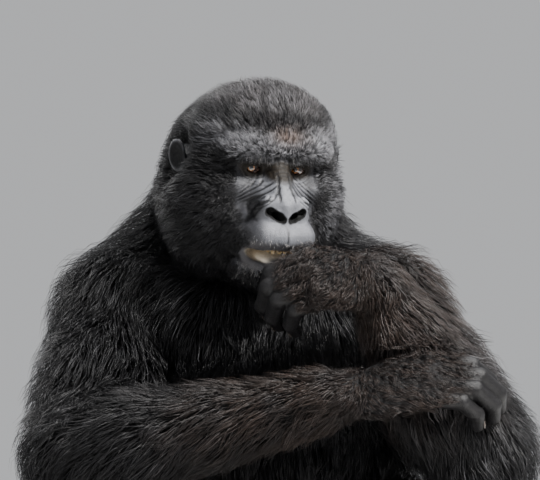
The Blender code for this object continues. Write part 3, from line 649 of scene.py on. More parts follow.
def netOf(lines, values):
    # one vertex in each cell that the surface passes, one quad on each crossed edge
    inside = values < 0
    cells = np.array(values.shape) - 1
    quads = []
    points = []
    for axis in range(3):
        other = [i for i in range(3) if i != axis]
        first = [slice(None)] * 3
        second = [slice(None)] * 3
        first[axis] = slice(0, -1)
        second[axis] = slice(1, None)
        at = np.argwhere(inside[tuple(first)] != inside[tuple(second)])
        at = at[np.all((at[:, other] > 0) & (at[:, other] < cells[other]), axis=1)]
        a = values[tuple(at.T)]
        after = at.copy()
        after[:, axis] += 1
        b = values[tuple(after.T)]
        point = np.stack([lines[i][at[:, i]] for i in range(3)], axis=1)
        run = lines[axis][after[:, axis]] - lines[axis][at[:, axis]]
        point[:, axis] += run * a / (a - b)
        ring = []
        for du, dv in ((0, 0), (-1, 0), (-1, -1), (0, -1)):
            cell = at.copy()
            cell[:, other[0]] += du
            cell[:, other[1]] += dv
            ring.append(np.ravel_multi_index(tuple(cell.T), tuple(cells)))
            points.append(point)
        ring = np.stack(ring, axis=1)
        flip = (a > 0) ^ (axis == 1)
        ring[flip] = ring[flip][:, ::-1]
        quads.append(ring)
    keys = np.concatenate([q.T.ravel() for q in quads])
    points = np.concatenate(points)
    flat = np.unique(keys, return_inverse=True)[1]
    hits = np.bincount(flat)
    vertices = np.stack([np.bincount(flat, points[:, i]) / hits for i in range(3)], axis=1)
    start = 0
    faces = []
    for q in quads:
        size = q.size
        faces.append(flat[start:start + size].reshape(4, -1).T)
        start += size
    return vertices, np.concatenate(faces)


def settled(points, field, rounds, h):
    for _ in range(rounds):
        d = inRuns(field, points)
        g = np.stack([inRuns(field, points + s) for s in np.eye(3) * h], axis=1) - d[:, None]
        g /= h
        length = np.maximum((g * g).sum(axis=1), 0.25)
        points = points - np.clip(d / length, -2 * h, 2 * h)[:, None] * g
    return points


def meshFrom(name, points, faces, smooth=True):
    mesh = bpy.data.meshes.new(name)
    sizes = np.concatenate([np.full(len(f), f.shape[1]) for f in faces])
    loops = np.concatenate([f.ravel() for f in faces]).astype(np.int32)
    mesh.vertices.add(len(points))
    mesh.vertices.foreach_set("co", np.asarray(points, dtype=np.float32).ravel())
    mesh.loops.add(len(loops))
    mesh.loops.foreach_set("vertex_index", loops)
    mesh.polygons.add(len(sizes))
    mesh.polygons.foreach_set("loop_start", np.concatenate([[0], np.cumsum(sizes)[:-1]]).astype(np.int32))
    mesh.polygons.foreach_set("use_smooth", np.full(len(sizes), smooth))
    mesh.update(calc_edges=True)
    mesh.validate()
    return mesh


def readVectors(data, what):
    out = np.empty(len(data) * 3)
    data.foreach_get(what, out)
    return out.reshape(-1, 3)


def placed(name, mesh, look):
    mesh.materials.append(look)
    piece = bpy.data.objects.new(name, mesh)
    bpy.context.scene.collection.objects.link(piece)
    return piece


def keepAttribute(mesh, name, values):
    made = mesh.attributes.new(name, "FLOAT", "POINT")
    made.data.foreach_set("value", np.asarray(values, dtype=np.float32))


# folds of the bare face, millimetres in the head's frame, outward positive
faceFolds = {
    "cheek": {"depth": 1.35, "spacing": 5.0, "start": (12, -6), "slope": (0.58, -0.81)},
    "bridge": {"depth": 0.45, "spacing": 5.6, "groove": 1.7},
    "arcs": {"depth": 0.7, "spacing": 4.4},
    "lip": {"depth": 0.24, "spacing": 6.4},
    "eye": {"depth": 0.9, "rings": (14.0, 18.0, 22.5)},
    "frown": {"depth": 1.2},
    "wing": {"depth": 1.7},
}


def valleys(u, spacing):
    return (0.5 + 0.5 * np.cos(2 * math.pi * u / spacing)) ** 3


def dip(u, width):
    return np.exp(-(u / width) ** 2)


def within(u, lo, hi, soft):
    return ramp(u, lo - soft, lo + soft) * (1 - ramp(u, hi - soft, hi + soft))


def wander(q, size, seed):
    # slow smooth variation from a few crossed waves
    rng = np.random.default_rng(seed)
    total = np.zeros(len(q))
    for _ in range(6):
        way = rng.normal(size=3)
        way /= np.linalg.norm(way)
        total += np.sin(q @ way * 2 * math.pi / (size * rng.uniform(0.7, 1.5)) + rng.uniform(0, 6.3))
    return total / 6


def foldsOf(q):
    f = faceFolds
    x, y, z = mirroredIn(q).T
    uneven = wander(q, 34, 3)
    front = 1 - ramp(y, 18, 40)
    out = np.zeros(len(q))
    # diagonal folds running from the inner corner of the eye over the cheek
    c = f["cheek"]
    run = (x - c["start"][0]) * c["slope"][0] + (z - c["start"][1]) * c["slope"][1]
    across = (z - c["start"][1]) * c["slope"][0] - (x - c["start"][0]) * c["slope"][1]
    across = across - 0.0045 * run ** 2 + 1.5 * uneven
    out -= c["depth"] * valleys(across, c["spacing"]) * within(run, 5, 52, 7) * within(across, -12, 15, 5)
    # creases around the lids
    e = f["eye"]
    ring = np.sqrt((x - eyeHalfGap) ** 2 + ((z + 0.5) * 1.25) ** 2)
    low = 1 - ramp(z, -2, 6)
    for i, r in enumerate(e["rings"]):
        share = (1.0, 0.8, 0.55)[i]
        crease = e["depth"] * share * dip(ring - r - uneven, 1.5)
        out -= crease * (0.35 + 0.65 * low) * (1 - ramp(x, 48, 56))
    out += 1.0 * dip(ring - 16.0, 1.8) * low
    out -= 0.8 * dip(z - 8.0 + 0.010 * (x - eyeHalfGap) ** 2, 1.4) * within(x, 18, 45, 4)
    # cross wrinkles down the bridge of the nose, and the long groove on each side of it
    b = f["bridge"]
    shift = z - 0.030 * x ** 2 + 1.2 * uneven
    patchy = ramp(wander(q, 12, 9), -0.3, 0.4)
    cross = b["depth"] * patchy * valleys(shift, b["spacing"])
    out -= cross * (1 - ramp(x, 5, 12)) * within(z, -32, -6, 5)
    out -= b["groove"] * dip(x - 7.5 + 0.12 * z + 0.6 * uneven, 1.7) * within(z, -30, -2, 6)
    # arcs across the skin between the eyes
    a = f["arcs"]
    arc = np.sqrt(x ** 2 + (z + 14) ** 2) + uneven
    out -= a["depth"] * valleys(arc, a["spacing"]) * (1 - ramp(x, 13, 19)) * within(z, -3, 18, 4)
    # upright wrinkles of the upper lip and the groove under the nose
    p = f["lip"]
    upright = p["depth"] * valleys(x + 1.4 * uneven + 0.08 * z, p["spacing"])
    out -= upright * within(z, -88, -68, 4) * (1 - ramp(x, 44, 54))
    out -= 0.9 * dip(x, 2.6) * within(z, -86, -66, 4)
    # frown lines between the brows
    w = f["frown"]
    out -= w["depth"] * dip(x - 7 + 0.10 * z, 1.8) * within(z, 12, 36, 6)
    out -= 0.9 * dip(z - 20 - 0.01 * x ** 2, 1.8) * (1 - ramp(x, 18, 28))
    # the furrow from the wing of the nose down to the corner of the mouth
    g = f["wing"]
    path = 37 + 0.42 * (-45 - z) + 0.0045 * (z + 45) ** 2
    out -= g["depth"] * dip(x - path - uneven, 2.4) * within(z, -86, -40, 7)
    out += 0.9 * dip(x - path - 5.5 - uneven, 3.2) * within(z, -84, -42, 7)
    # the crease that sets off the wing of the nose
    rim = np.sqrt(((x - 17) / 25.5) ** 2 + ((z + 50) / 20.5) ** 2)
    out -= 1.7 * dip((rim - 1) * 22, 2.0) * ramp(x, 15, 28) * (1 - ramp(z, -34, -26)) * ramp(z, -66, -52)
    # wrinkles in the skin of chin and lower lip
    chin = 0.45 * valleys(z + 0.02 * x ** 2 + uneven, 4.8)
    out -= chin * within(z, -152, -130, 5) * (1 - ramp(x, 34, 46))
    out += 0.45 * uneven + 0.22 * wander(q, 9, 5)
    return out * front * faceMask(q)


def knuckleFolds(p, arm):
    # creases across the backs of the finger joints, metres
    out = np.zeros(len(p))
    back = handFrame(arm)[2]
    for stops in fingerBones(arm):
        for (a, ra), (b, _) in zip(stops[1:], stops[2:]):
            way = unit(b - a)
            run = (p - a) @ way
            off = np.linalg.norm(p - a - run[:, None] * way, axis=1)
            near = (1 - ramp(off, ra * 1.25, ra * 1.7)) * (1 - ramp(np.abs(run), 0.005, 0.010))
            out -= 0.0005 * near * valleys(run * 1000 + 1.0, 2.8)
            out += 0.0008 * near * ramp((p - a) @ back / ra, 0.0, 0.9)
    return out


# the skin
def buildSkin():
    lines = [gridLine(skinGrid[axis]) for axis in "xyz"]
    values = gridValues(lines, skinField)
    points, faces = netOf(lines, values)
    print("skin net:", len(points), "points")
    mesh = meshFrom("skin", points, [faces])
    bm = bmesh.new()
    bm.from_mesh(mesh)
    bm.verts.ensure_lookup_table()
    q = toHead(np.array([v.co for v in bm.verts]))
    bare = (faceMask(q) > 0.02) & (q[:, 1] < 32)
    edges = [e for e in bm.edges if bare[e.verts[0].index] and bare[e.verts[1].index]]
    bmesh.ops.subdivide_edges(bm, edges=edges, cuts=1, use_grid_fill=True)
    bmesh.ops.triangulate(bm, faces=[f for f in bm.faces if len(f.verts) > 4])
    bm.to_mesh(mesh)
    bm.free()
    points = readVectors(mesh.vertices, "co")
    points = settled(points, skinField, 2, 0.0006)
    mesh.vertices.foreach_set("co", points.ravel())
    mesh.update()
    normals = readVectors(mesh.vertices, "normal")
    rise = foldsOf(toHead(points)) / 1000
    for arm in arms:
        rise += knuckleFolds(points, arm)
    points = points + normals * rise[:, None]
    mesh.vertices.foreach_set("co", points.ravel())
    mesh.update()
    return mesh, points, rise


# where each part of the animal is, how deep its coat is, which way it lies
def sharesOf(parts):
    # how much each part owns a point: one share per part, together 1
    names = list(parts)
    d = np.stack([parts[n] for n in names])
    w = np.exp(-np.clip(d - d.min(axis=0), 0, 0.3) / 0.008)
    return dict(zip(names, w / w.sum(axis=0)))


def summed(p, shares, trunk, head, armWise, legWise):
    # what each part would give at a point, by its share there
    out = (shares["trunk"] * trunk(p).T).T + (shares["head"] * head(p).T).T
    for kind, wise in (("arm", armWise), ("leg", legWise)):
        for one in limbKinds[kind]["limbs"]:
            out = out + (shares[kind, one["side"]] * wise(p, one).T).T
    return out


def coatDepth(p, shares):
    return summed(p, shares, trunkCoatAt, lambda s: headCoat(toHead(s)), armCoatAt, legCoatAt)


def scaled(v):
    return v / np.maximum(np.linalg.norm(v, axis=1), 1e-9)[:, None]


def headFlow(p):
    # back from the brow, fanning out and down over cheeks and neck
    q = toHead(p)
    side = np.sign(q[:, 0])
    away = q - vec(0, -70, -18)
    away[:, 2] -= 26 * ramp(q[:, 1], 20, 90) + 46 * ramp(-q[:, 2], -10, 70)
    away[:, 0] += side * 10 * ramp(-q[:, 2], 0, 60)
    beard = ramp(-q[:, 2], 105, 130) * (1 - ramp(q[:, 1], 20, 70))
    flow = scaled(away) * (1 - beard[:, None]) + beard[:, None] * vec(0, 0.45, -0.9)
    return flow @ headAxes.T


def trunkFlow(p):
    x, side = np.abs(p[:, 0]), np.sign(p[:, 0])
    out = np.tile(vec(0, 0, -1), (len(p), 1))
    out[:, 0] = 0.35 * side * ramp(x, 0.02, 0.12)
    out[:, 0] *= ramp(p[:, 2], 0.40, 0.55) * 2.2
    front = 1 - ramp(p[:, 1], -0.02, 0.06)
    out[:, 0] -= 0.5 * front * side * ramp(x, 0.04, 0.14) * (1 - ramp(p[:, 2], 0.44, 0.5))
    out[:, 1] += 0.25 * ramp(p[:, 1], 0.05, 0.15)
    return scaled(out)


def armFlow(p, arm):
    shoulder, elbow = vec(*arm["shoulder"]), vec(*arm["elbow"])
    wrist, forward, _, thumbSide = handFrame(arm)
    upper = unit(elbow - shoulder) + vec(0, 0.10, -0.25)
    lower = unit(elbow - wrist) + vec(0, 0, -0.45)
    share = ramp(towardsForearm(p, arm), -0.03, 0.03)[:, None]
    flow = upper * (1 - share) + lower * share
    hand = (ramp((p - wrist) @ forward, 0.0, 0.05) * (1 - ramp(handField(p, arm), 0.004, 0.03)))[:, None]
    return scaled(flow * (1 - hand) + (forward * 0.9 - thumbSide * 0.7) * hand)


def legFlow(p, leg):
    hip, knee, ankle = vec(*leg["hip"]), vec(*leg["knee"]), vec(*leg["ankle"])
    upper = unit(knee - hip) + vec(0, 0, -0.35)
    lower = unit(ankle - knee) + vec(0, 0, -0.20)
    share = ramp(along(p, leg["knee"], leg["ankle"]), -0.05, 0.20)[:, None]
    return scaled(upper * (1 - share) + lower * share)


def flowAt(p, shares):
    return summed(p, shares, trunkFlow, headFlow, armFlow, legFlow)


def brownOf(p, shares):
    # how reddish the hair is: on the crown, in a spot on the brow, on forearms and backs of the hands
    q = toHead(p)
    x, y, z = q.T
    crown = ramp(z, 25, 75) * (1 - ramp(y, 70, 150)) * 0.22
    spot = np.exp(-((x - 6) / 24) ** 2 - ((z - 41) / 11) ** 2) * (y < 60)
    out = shares["head"] * (0.05 + crown + 0.6 * spot) + shares["trunk"] * 0.08
    for arm in arms:
        toWrist = ramp(along(p, arm["elbow"], arm["wrist"]), 0.0, 0.8)
        out = out + shares["arm", arm["side"]] * (0.10 + 0.36 * toWrist)
    for leg in legs:
        out = out + shares["leg", leg["side"]] * 0.1
    return np.clip(out, 0, 1)


def paintedSheenOf(p):
    # painted sheen: hair drawn lighter over the brow, on top of the crown and on the cheeks, most on the
    # left cheek, which faces the key light
    q = toHead(p)
    x, y, z = q.T
    level = z + 5 * wander(q, 30, 23)
    brow = within(level, 18, 50, 8) * (1 - ramp(y, 30, 75)) * (1 - ramp(np.abs(x), 70, 90))
    cheek = within(z, -90, 5, 20) * within(y, -5, 60, 15) * (0.12 + 0.7 * ramp(x, -10, 10))
    crown = ramp(level, 60, 76) * (1 - ramp(y, 70, 130)) * 0.6
    return np.clip(brow + cheek + crown, 0, 1)


def trunkRegion(p):
    front = p[:, 1] < 0.03
    upper = np.where(front, "chest", "shoulders")
    lower = np.where(front, "belly", "back")
    return np.where(p[:, 2] > 0.545, "nape", np.where(p[:, 2] > 0.35, upper, lower))


def armRegion(p, arm, word):
    onHand = (p - vec(*arm["wrist"])) @ handFrame(arm)[1] > -0.005
    onHand &= handField(p, arm) < 0.02
    above = np.where(towardsForearm(p, arm) > 0, word + "_forearm", word + "_upper_arm")
    return np.where(onHand, word + "_hand", above)


def legRegion(p, leg, word):
    shin = along(p, leg["knee"], leg["ankle"]) > 0.05
    onFoot = (footField(p, leg) < 0.012) & (p[:, 2] < 0.09)
    return np.where(onFoot, word + "_foot", np.where(shin, word + "_shin", word + "_thigh"))


def regionOf(p, parts):
    # the name of the coat piece that each point belongs to
    names = list(parts)
    order = np.argmin(np.stack([parts[n] for n in names]), axis=0)
    q = toHead(p)
    region = np.empty(len(p), dtype=object)
    for i, name in enumerate(names):
        if name == "trunk":
            label = trunkRegion(p)
        elif name == "head":
            label = np.where(q[:, 2] > 12, np.where(q[:, 1] < 70, "brow", "crown"), "cheeks")
        else:
            kind, side = name
            pick, word = (0, "left") if side > 0 else (1, "right")
            label = armRegion(p, arms[pick], word) if kind == "arm" else legRegion(p, legs[pick], word)
        mine = order == i
        region[mine] = label[mine]
    return region


# locks of hair
def coatPiece(count, rings, width, stretch, stray, reach=(0.62, 1.15)):
    # how many locks, rings from root to tip, width at the root (mm), length per depth of the coat,
    # disorder, lowest and highest lie per depth
    return {"count": count, "rings": rings, "width": width, "stretch": stretch, "stray": stray,
            "reach": reach}


coatPieces = {
    "brow": coatPiece(13000, 1, 0.85, 2.5, 0.26, (0.7, 1.3)),
    "crown": coatPiece(11000, 1, 1.20, 2.4, 0.33, (0.75, 1.25)),
    "cheeks": coatPiece(14000, 1, 1.05, 2.3, 0.24, (0.75, 1.25)),
    "nape": coatPiece(5000, 2, 1.3, 2.4, 0.2, (0.55, 1.0)),
    "chest": coatPiece(6400, 2, 1.4, 2.3, 0.2),
    "shoulders": coatPiece(5800, 2, 1.5, 2.4, 0.2),
    "belly": coatPiece(4200, 2, 1.5, 2.2, 0.2),
    "back": coatPiece(5400, 2, 1.6, 2.4, 0.18),
}
pairedPieces = {
    "upper_arm": coatPiece(6000, 2, 1.4, 2.2, 0.2),
    "forearm": coatPiece(5800, 2, 1.25, 2.4, 0.2),
    "hand": coatPiece(4000, 1, 0.95, 3.4, 0.24),
    "thigh": coatPiece(3600, 2, 1.6, 2.2, 0.18),
    "shin": coatPiece(2500, 2, 1.5, 2.2, 0.18),
    "foot": coatPiece(1500, 1, 0.8, 3.6, 0.2),
}
for part, numbers in pairedPieces.items():
    coatPieces["left_" + part] = numbers
    coatPieces["right_" + part] = numbers
lockShape = {
    "clump": 13,  # locks drawn together at the tip
    "gather": 0.62,  # how far a tip goes over to its leader
    "droop": 0.22,
    "loose": 0.06,  # share that stands clear of the rest
    "looseHeight": 1.3,
    "sink": 0.0008,  # how deep a root sits in the skin
    "lengths": (0.70, 1.12),  # spread of length, width and pull about the piece's own
    "widths": (0.75, 1.25),
    "pulls": (0.5, 1.3),
    "pullWithin": 0.05,
    "stops": {1: (0.5, 1.0), 2: (0.32, 0.68, 1.0)},  # shares of the length at which a lock bends
    "taper": {2: (1.0, 0.75), 3: (1.0, 0.95, 0.65)},
    "section": ((-1, -0.3), (1, -0.3), (0, 0.8)),
    "thickness": 0.6,
    "patch": 0.003,
}


def rootsOn(corners, normals, weights, count):
    # random points over triangles, more where the weight is higher
    a, b, c = (corners[:, i] for i in range(3))
    area = 0.5 * np.linalg.norm(np.cross(b - a, c - a), axis=1) * weights
    pick = np.searchsorted(np.cumsum(area), draws.random(count) * area.sum())
    pick = np.minimum(pick, len(corners) - 1)
    u, v = draws.random(count), draws.random(count)
    over = u + v > 1
    u[over], v[over] = 1 - u[over], 1 - v[over]
    mix = np.stack([1 - u - v, u, v], axis=1)[:, :, None]
    return (corners[pick] * mix).sum(axis=1), scaled((normals[pick] * mix).sum(axis=1))


def clumpOf(roots, count):
    # the number of the leading lock that each lock leans to
    leaders = draws.choice(len(roots), count, replace=False)
    tree = KDTree(count)
    for i, k in enumerate(leaders):
        tree.insert(roots[k], i)
    tree.balance()
    nearest = np.array([tree.find(p)[1] for p in roots])
    return leaders[nearest], nearest


limbRuns = {  # the two places that a piece of a limb reaches between
    "upper_arm": ("shoulder", "elbow"),
    "forearm": ("elbow", "wrist"),
    "hand": ("wrist", "knuckles"),
    "thigh": ("hip", "knee"),
    "shin": ("knee", "ankle"),
    "foot": ("ankle", "toes"),
}


def unwrapOf(name, p):
    # the piece's skin laid out flat: round its own long axis and along it
    side, _, part = name.partition("_")
    if part in limbRuns:
        a, b = limbRuns[part]
        owner = (arms if a in leftArm else legs)[side == "right"]
        around, down = turnRound(p, owner[a], owner[b])
    elif name in ("brow", "crown", "cheeks", "nape"):
        q = toHead(p) - vec(0, 70, -20)
        around, down = np.arctan2(q[:, 0], -q[:, 1]), q[:, 2]
    else:
        around, down = np.arctan2(p[:, 0], 0.04 - p[:, 1]), p[:, 2]
    return np.stack([0.02 + 0.955 * (v - v.min()) / max(np.ptp(v), 1e-6) for v in (around, down)], axis=1)


def turnRound(p, a, b):
    way = unit(vec(*b) - vec(*a))
    side = unit(np.cross(way, vec(0.1, 0.2, 1)))
    off = p - vec(*a)
    return np.arctan2(off @ side, off @ np.cross(way, side)), off @ way


def heightAbove(p, wanted, shift=0.004):
    # points brought to the wanted height over the skin, and the way out of it there
    d = inRuns(skinField, p)
    out = np.stack([inRuns(skinField, p + s) for s in np.eye(3) * shift], axis=1) - d[:, None]
    out = scaled(out)
    return p + out * np.clip(wanted - d, -0.02, 0.02)[:, None], out  # never more than 2 cm in one step


def partingAt(p):
    # 1 round the wrists, where the hair of forearm and hand parts
    out = np.zeros(len(p))
    for arm in arms:
        wrist, forward = handFrame(arm)[:2]
        near = 1 - ramp(distance(p, wrist), 0.05, 0.09)
        out = np.maximum(out, dip((p - wrist) @ forward, 0.022) * near)
    return out


def locksOn(name, corners, normals):
    s = coatPieces[name]
    centre = corners.mean(axis=1)
    depth = coatDepth(centre, sharesOf(partFields(centre)))
    weights = ramp(depth, 0.0008, 0.0026) / np.clip(depth, 0.006, 0.04) ** 0.5
    weights = weights * (1 + 1.6 * partingAt(centre))  # more at the wrists, none on the ears
    weights = weights * ramp(distance(mirroredIn(toHead(centre)), earCentre), 20, 25)
    count = s["count"]
    roots, up = rootsOn(corners, normals, weights, count)
    shares = sharesOf(partFields(roots))
    depth = coatDepth(roots, shares)
    stray = s["stray"] * (1 + 1.2 * (partingAt(roots)[:, None]))
    way = scaled(flowAt(roots, shares)) + draws.normal(size=(count, 3)) * stray
    way = scaled(way - up * (way * up).sum(axis=1)[:, None])
    q = toHead(roots)
    longer = 0.15 + 0.85 * ramp(distance(mirroredIn(q), earCentre), 24, 70)
    longer = longer * (1 + 1.1 * ramp(-q[:, 2], 55, 115) * (name == "cheeks"))  # longer under the jaw
    longer = longer * (1 + 1.0 * ramp(q[:, 1], 75, 120) * (name == "crown"))  # and at the back of the head
    length = depth * s["stretch"] * draws.uniform(*lockShape["lengths"], count) * longer
    height = depth * draws.uniform(*s["reach"], count)
    height = np.where(draws.random(count) < lockShape["loose"], depth * lockShape["looseHeight"], height)
    stops = lockShape["stops"][s["rings"]]
    path = [roots - up * lockShape["sink"]]
    leader, number = clumpOf(roots, max(1, count // lockShape["clump"]))
    at = roots
    before = 0.0
    for t in stops:
        # march along the skin, so that a lock bends round the body
        at = at + way * (length * (t - before))[:, None]
        at, out = heightAbove(at, height * math.sin(0.25 + t * 1.32))  # rising steeply, then lying over
        way = way + vec(0, 0, -lockShape["droop"] * t)  # and hanging more towards the tip
        way = scaled(way - out * (way * out).sum(axis=1)[:, None])
        path.append(at)
        before = t
    pull = lockShape["gather"] * draws.uniform(*lockShape["pulls"], number.max() + 1)[number]
    near = distance(roots[leader], roots) < lockShape["pullWithin"]
    for t, k in zip(stops, range(1, len(path))):
        path[k] = path[k] + (path[k][leader] - path[k]) * (near * pull * t ** 1.5)[:, None]
    for at in path:
        at[:, 2] = np.maximum(at[:, 2], 0.0006)  # clear of the floor
    # each lock's own tone, which also carries painted sheen: lighter strands stand for glints of light on
    # the hair
    shade = 0.5 * draws.random(number.max() + 1)[number] + 0.5 * draws.random(count)
    # on brow, crown and cheeks the painted sheen of the head is added
    if name in ("brow", "cheeks", "crown"):
        shade = np.clip(0.74 * shade + 0.56 * paintedSheenOf(roots), 0, 1)
    else:
        # the left arm, on the key light's side, keeps more painted sheen than the rest of the body
        shade = shade * (0.86 if "left" in name and "arm" in name else 0.74)
    return path, up, brownOf(roots, shares), shade, length


def lockMesh(name, path, up, width, brown, shade):
    # closed three-sided blades, tapering to one point at the tip
    count = len(path[0])
    rings = len(path) - 1
    points = np.empty((count, rings * 3 + 1, 3))
    for k in range(rings):
        way = scaled(path[k + 1] - path[max(k - 1, 0)])
        across = scaled(np.cross(way, up))
        over = np.cross(across, way)
        half = (width * lockShape["taper"][rings][k])[:, None] / 2
        for j, (x, y) in enumerate(lockShape["section"]):
            points[:, k * 3 + j] = path[k] + across * half * x + over * half * y * lockShape["thickness"]
    points[:, -1] = path[-1]
    one = [(0, 2, 1)]
    tip = (rings - 1) * 3
    for k in range(rings - 1):
        for j in range(3):
            a, b = k * 3 + j, k * 3 + (j + 1) % 3
            one += [(a, b, b + 3), (a, b + 3, a + 3)]
    one += [(tip + j, tip + (j + 1) % 3, rings * 3) for j in range(3)]
    per = rings * 3 + 1
    faces = (np.arange(count)[:, None, None] * per + np.array(one)[None]).reshape(-1, 3)
    mesh = meshFrom(name, points.reshape(-1, 3) + vec(*originShift), [faces])
    addPatches(mesh, unwrapOf(name, path[0]), rings)
    tipward = np.tile(np.array([k / rings for k in range(rings) for _ in range(3)] + [1.0]), count)
    keepAttribute(mesh, "tipward", tipward)
    keepAttribute(mesh, "brown", np.repeat(brown, per))
    keepAttribute(mesh, "shade", np.repeat(shade, per))
    return mesh


def addPatches(mesh, base, rings):
    # each lock is a small patch at its root's place on the unwrapped skin
    offsets = [(j / 2, (k + 0.25 * (j == 1)) / rings) for k in range(rings) for j in range(3)] + [(0.5, 1)]
    uv = (base[:, None] + np.array(offsets)[None] * lockShape["patch"]).reshape(-1, 2)
    layer = mesh.uv_layers.new(name="OFBake")
    index = np.empty(len(mesh.loops), dtype=np.int32)
    mesh.loops.foreach_get("vertex_index", index)
    layer.data.foreach_set("uv", uv[index].astype(np.float32).ravel())


def buildCoat(skinMesh, look):
    points = readVectors(skinMesh.vertices, "co")
    normals = readVectors(skinMesh.vertices, "normal")
    skinMesh.calc_loop_triangles()
    corners = np.empty(len(skinMesh.loop_triangles) * 3, dtype=np.int32)
    skinMesh.loop_triangles.foreach_get("vertices", corners)
    corners = corners.reshape(-1, 3)
    centres = points[corners].mean(axis=1)
    region = np.concatenate([regionOf(c, partFields(c)) for c in np.array_split(centres, 4)])
    total = 0
    for name, s in coatPieces.items():
        mine = corners[region == name]
        path, up, brown, shade, length = locksOn(name, points[mine], normals[mine])
        width = s["width"] / 1000 * draws.uniform(*lockShape["widths"], s["count"])
        width = np.minimum(width, 0.00035 + length * 0.035)
        mesh = lockMesh(name, path, up, width, brown, shade)
        piece = placed("coat_" + name, mesh, look)
        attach(piece, "root")
        total += len(mesh.polygons)
    print("coat:", total, "triangles in", len(coatPieces), "pieces")


# looks: a value is a socket that can be added to, taken from and multiplied
class Value:
    def __init__(self, look, socket):
        self.look = look
        self.socket = socket

    def maths(self, operation, first, second):
        return self.look.add("ShaderNodeMath", {"operation": operation}, {0: first, 1: second})

    def __add__(self, other):
        return self.maths("ADD", self, other)

    def __radd__(self, other):
        return self.maths("ADD", other, self)

    def __sub__(self, other):
        return self.maths("SUBTRACT", self, other)

    def __rsub__(self, other):
        return self.maths("SUBTRACT", other, self)

    def __mul__(self, other):
        return self.maths("MULTIPLY", self, other)

    def __rmul__(self, other):
        return self.maths("MULTIPLY", other, self)


class Look:
    def __init__(self, name):
        self.material = bpy.data.materials.new(name)
        self.material.use_nodes = True
        self.tree = self.material.node_tree
        self.shader = self.tree.nodes["Principled BSDF"]

    def add(self, kind, settings=None, sockets=None, out=0):
        # settings first, then what each socket takes, by name or number
        node = self.tree.nodes.new(kind)
        for key, value in (settings or {}).items():
            if key == "stops":
                self.setStops(node.color_ramp, value)
            else:
                setattr(node, key, value)
        for key, value in (sockets or {}).items():
            self.feed(node.inputs[key], value)
        return Value(self, node.outputs[out])

    def setStops(self, ramped, stops):
        while len(ramped.elements) < len(stops):
            ramped.elements.new(0.5)
        for element, (place, colour) in zip(ramped.elements, stops):
            element.position = place
            element.color = (*colour, 1.0)

    def feed(self, socket, value):
        if isinstance(value, Value):
            self.tree.links.new(value.socket, socket)
        elif isinstance(value, tuple) and len(value) == 3 and socket.type == "RGBA":
            socket.default_value = (*value, 1.0)
        else:
            socket.default_value = value

    def mix(self, share, first, second):
        return self.add("ShaderNodeMix", {"data_type": "RGBA"}, {0: share, 6: first, 7: second}, 2)

    def place(self):
        return self.add("ShaderNodeTexCoord", out="Object")

    def noise(self, size, detail=4.0):
        # size is the width of one blotch in metres
        sockets = {"Vector": self.place(), "Scale": 1 / size, "Detail": detail, "Roughness": 0.55}
        return self.add("ShaderNodeTexNoise", None, sockets)

    def cells(self, size):
        return self.add("ShaderNodeTexVoronoi", None, {"Vector": self.place(), "Scale": 1 / size})

    def mark(self, name):
        return self.add("ShaderNodeAttribute", {"attribute_name": name}, None, "Fac")

    def stepped(self, value, low, high, to=(0.0, 1.0)):
        sockets = {"Value": value, "From Min": low, "From Max": high, "To Min": to[0], "To Max": to[1]}
        return self.add("ShaderNodeMapRange", {"interpolation_type": "SMOOTHSTEP"}, sockets)

    def bump(self, height, depth, strength=1.0):
        sockets = {"Height": height, "Distance": depth, "Strength": strength}
        return self.add("ShaderNodeBump", None, sockets)

    def finish(self, **sockets):
        for key, value in sockets.items():
            self.feed(self.shader.inputs[key.replace("_", " ")], value)
        return self.material


# finishes
skinGrain = {"blotch": 0.021, "fine": 0.0032, "pore": 0.0013, "lump": 0.0075, "relief": 0.0008}  # metres
skinTones = {
    # deep: painted shade for the bottoms of creases
    "deep": (0.0040, 0.0038, 0.0042),
    "grey": (0.034, 0.034, 0.038),
    "pale": (0.075, 0.077, 0.086),
    # nose: a pale tone painted on the middle of the face as a highlight on the black skin
    "nose": (0.165, 0.169, 0.186),
    # socket: the skin's own darker brown round the eyes, deepened by the brow's painted shadow
    "socket": (0.0100, 0.0076, 0.0052),
    # outer: painted shade for the face's edges, most on its right side, and for the ears
    "outer": (0.016, 0.016, 0.018),
    # hollow: painted shade, near black, inside the nostrils and the bowls of the ears
    "hollow": (0.0008, 0.0008, 0.0008),
    "hand": (0.0060, 0.0057, 0.0062),
    "lip": (0.060, 0.056, 0.058),
    "mouth": (0.85, 0.75, 0.60),
    "underCoat": (0.006, 0.0057, 0.006),
}
hairTones = {
    "black": (0.0055, 0.0053, 0.0062),
    # grey: the painted sheen of the hair, and the darker end of the bristles' own tone
    "grey": (0.20, 0.20, 0.215),
    "brown": (0.075, 0.040, 0.022),
    "bristle": (0.42, 0.40, 0.37),
}


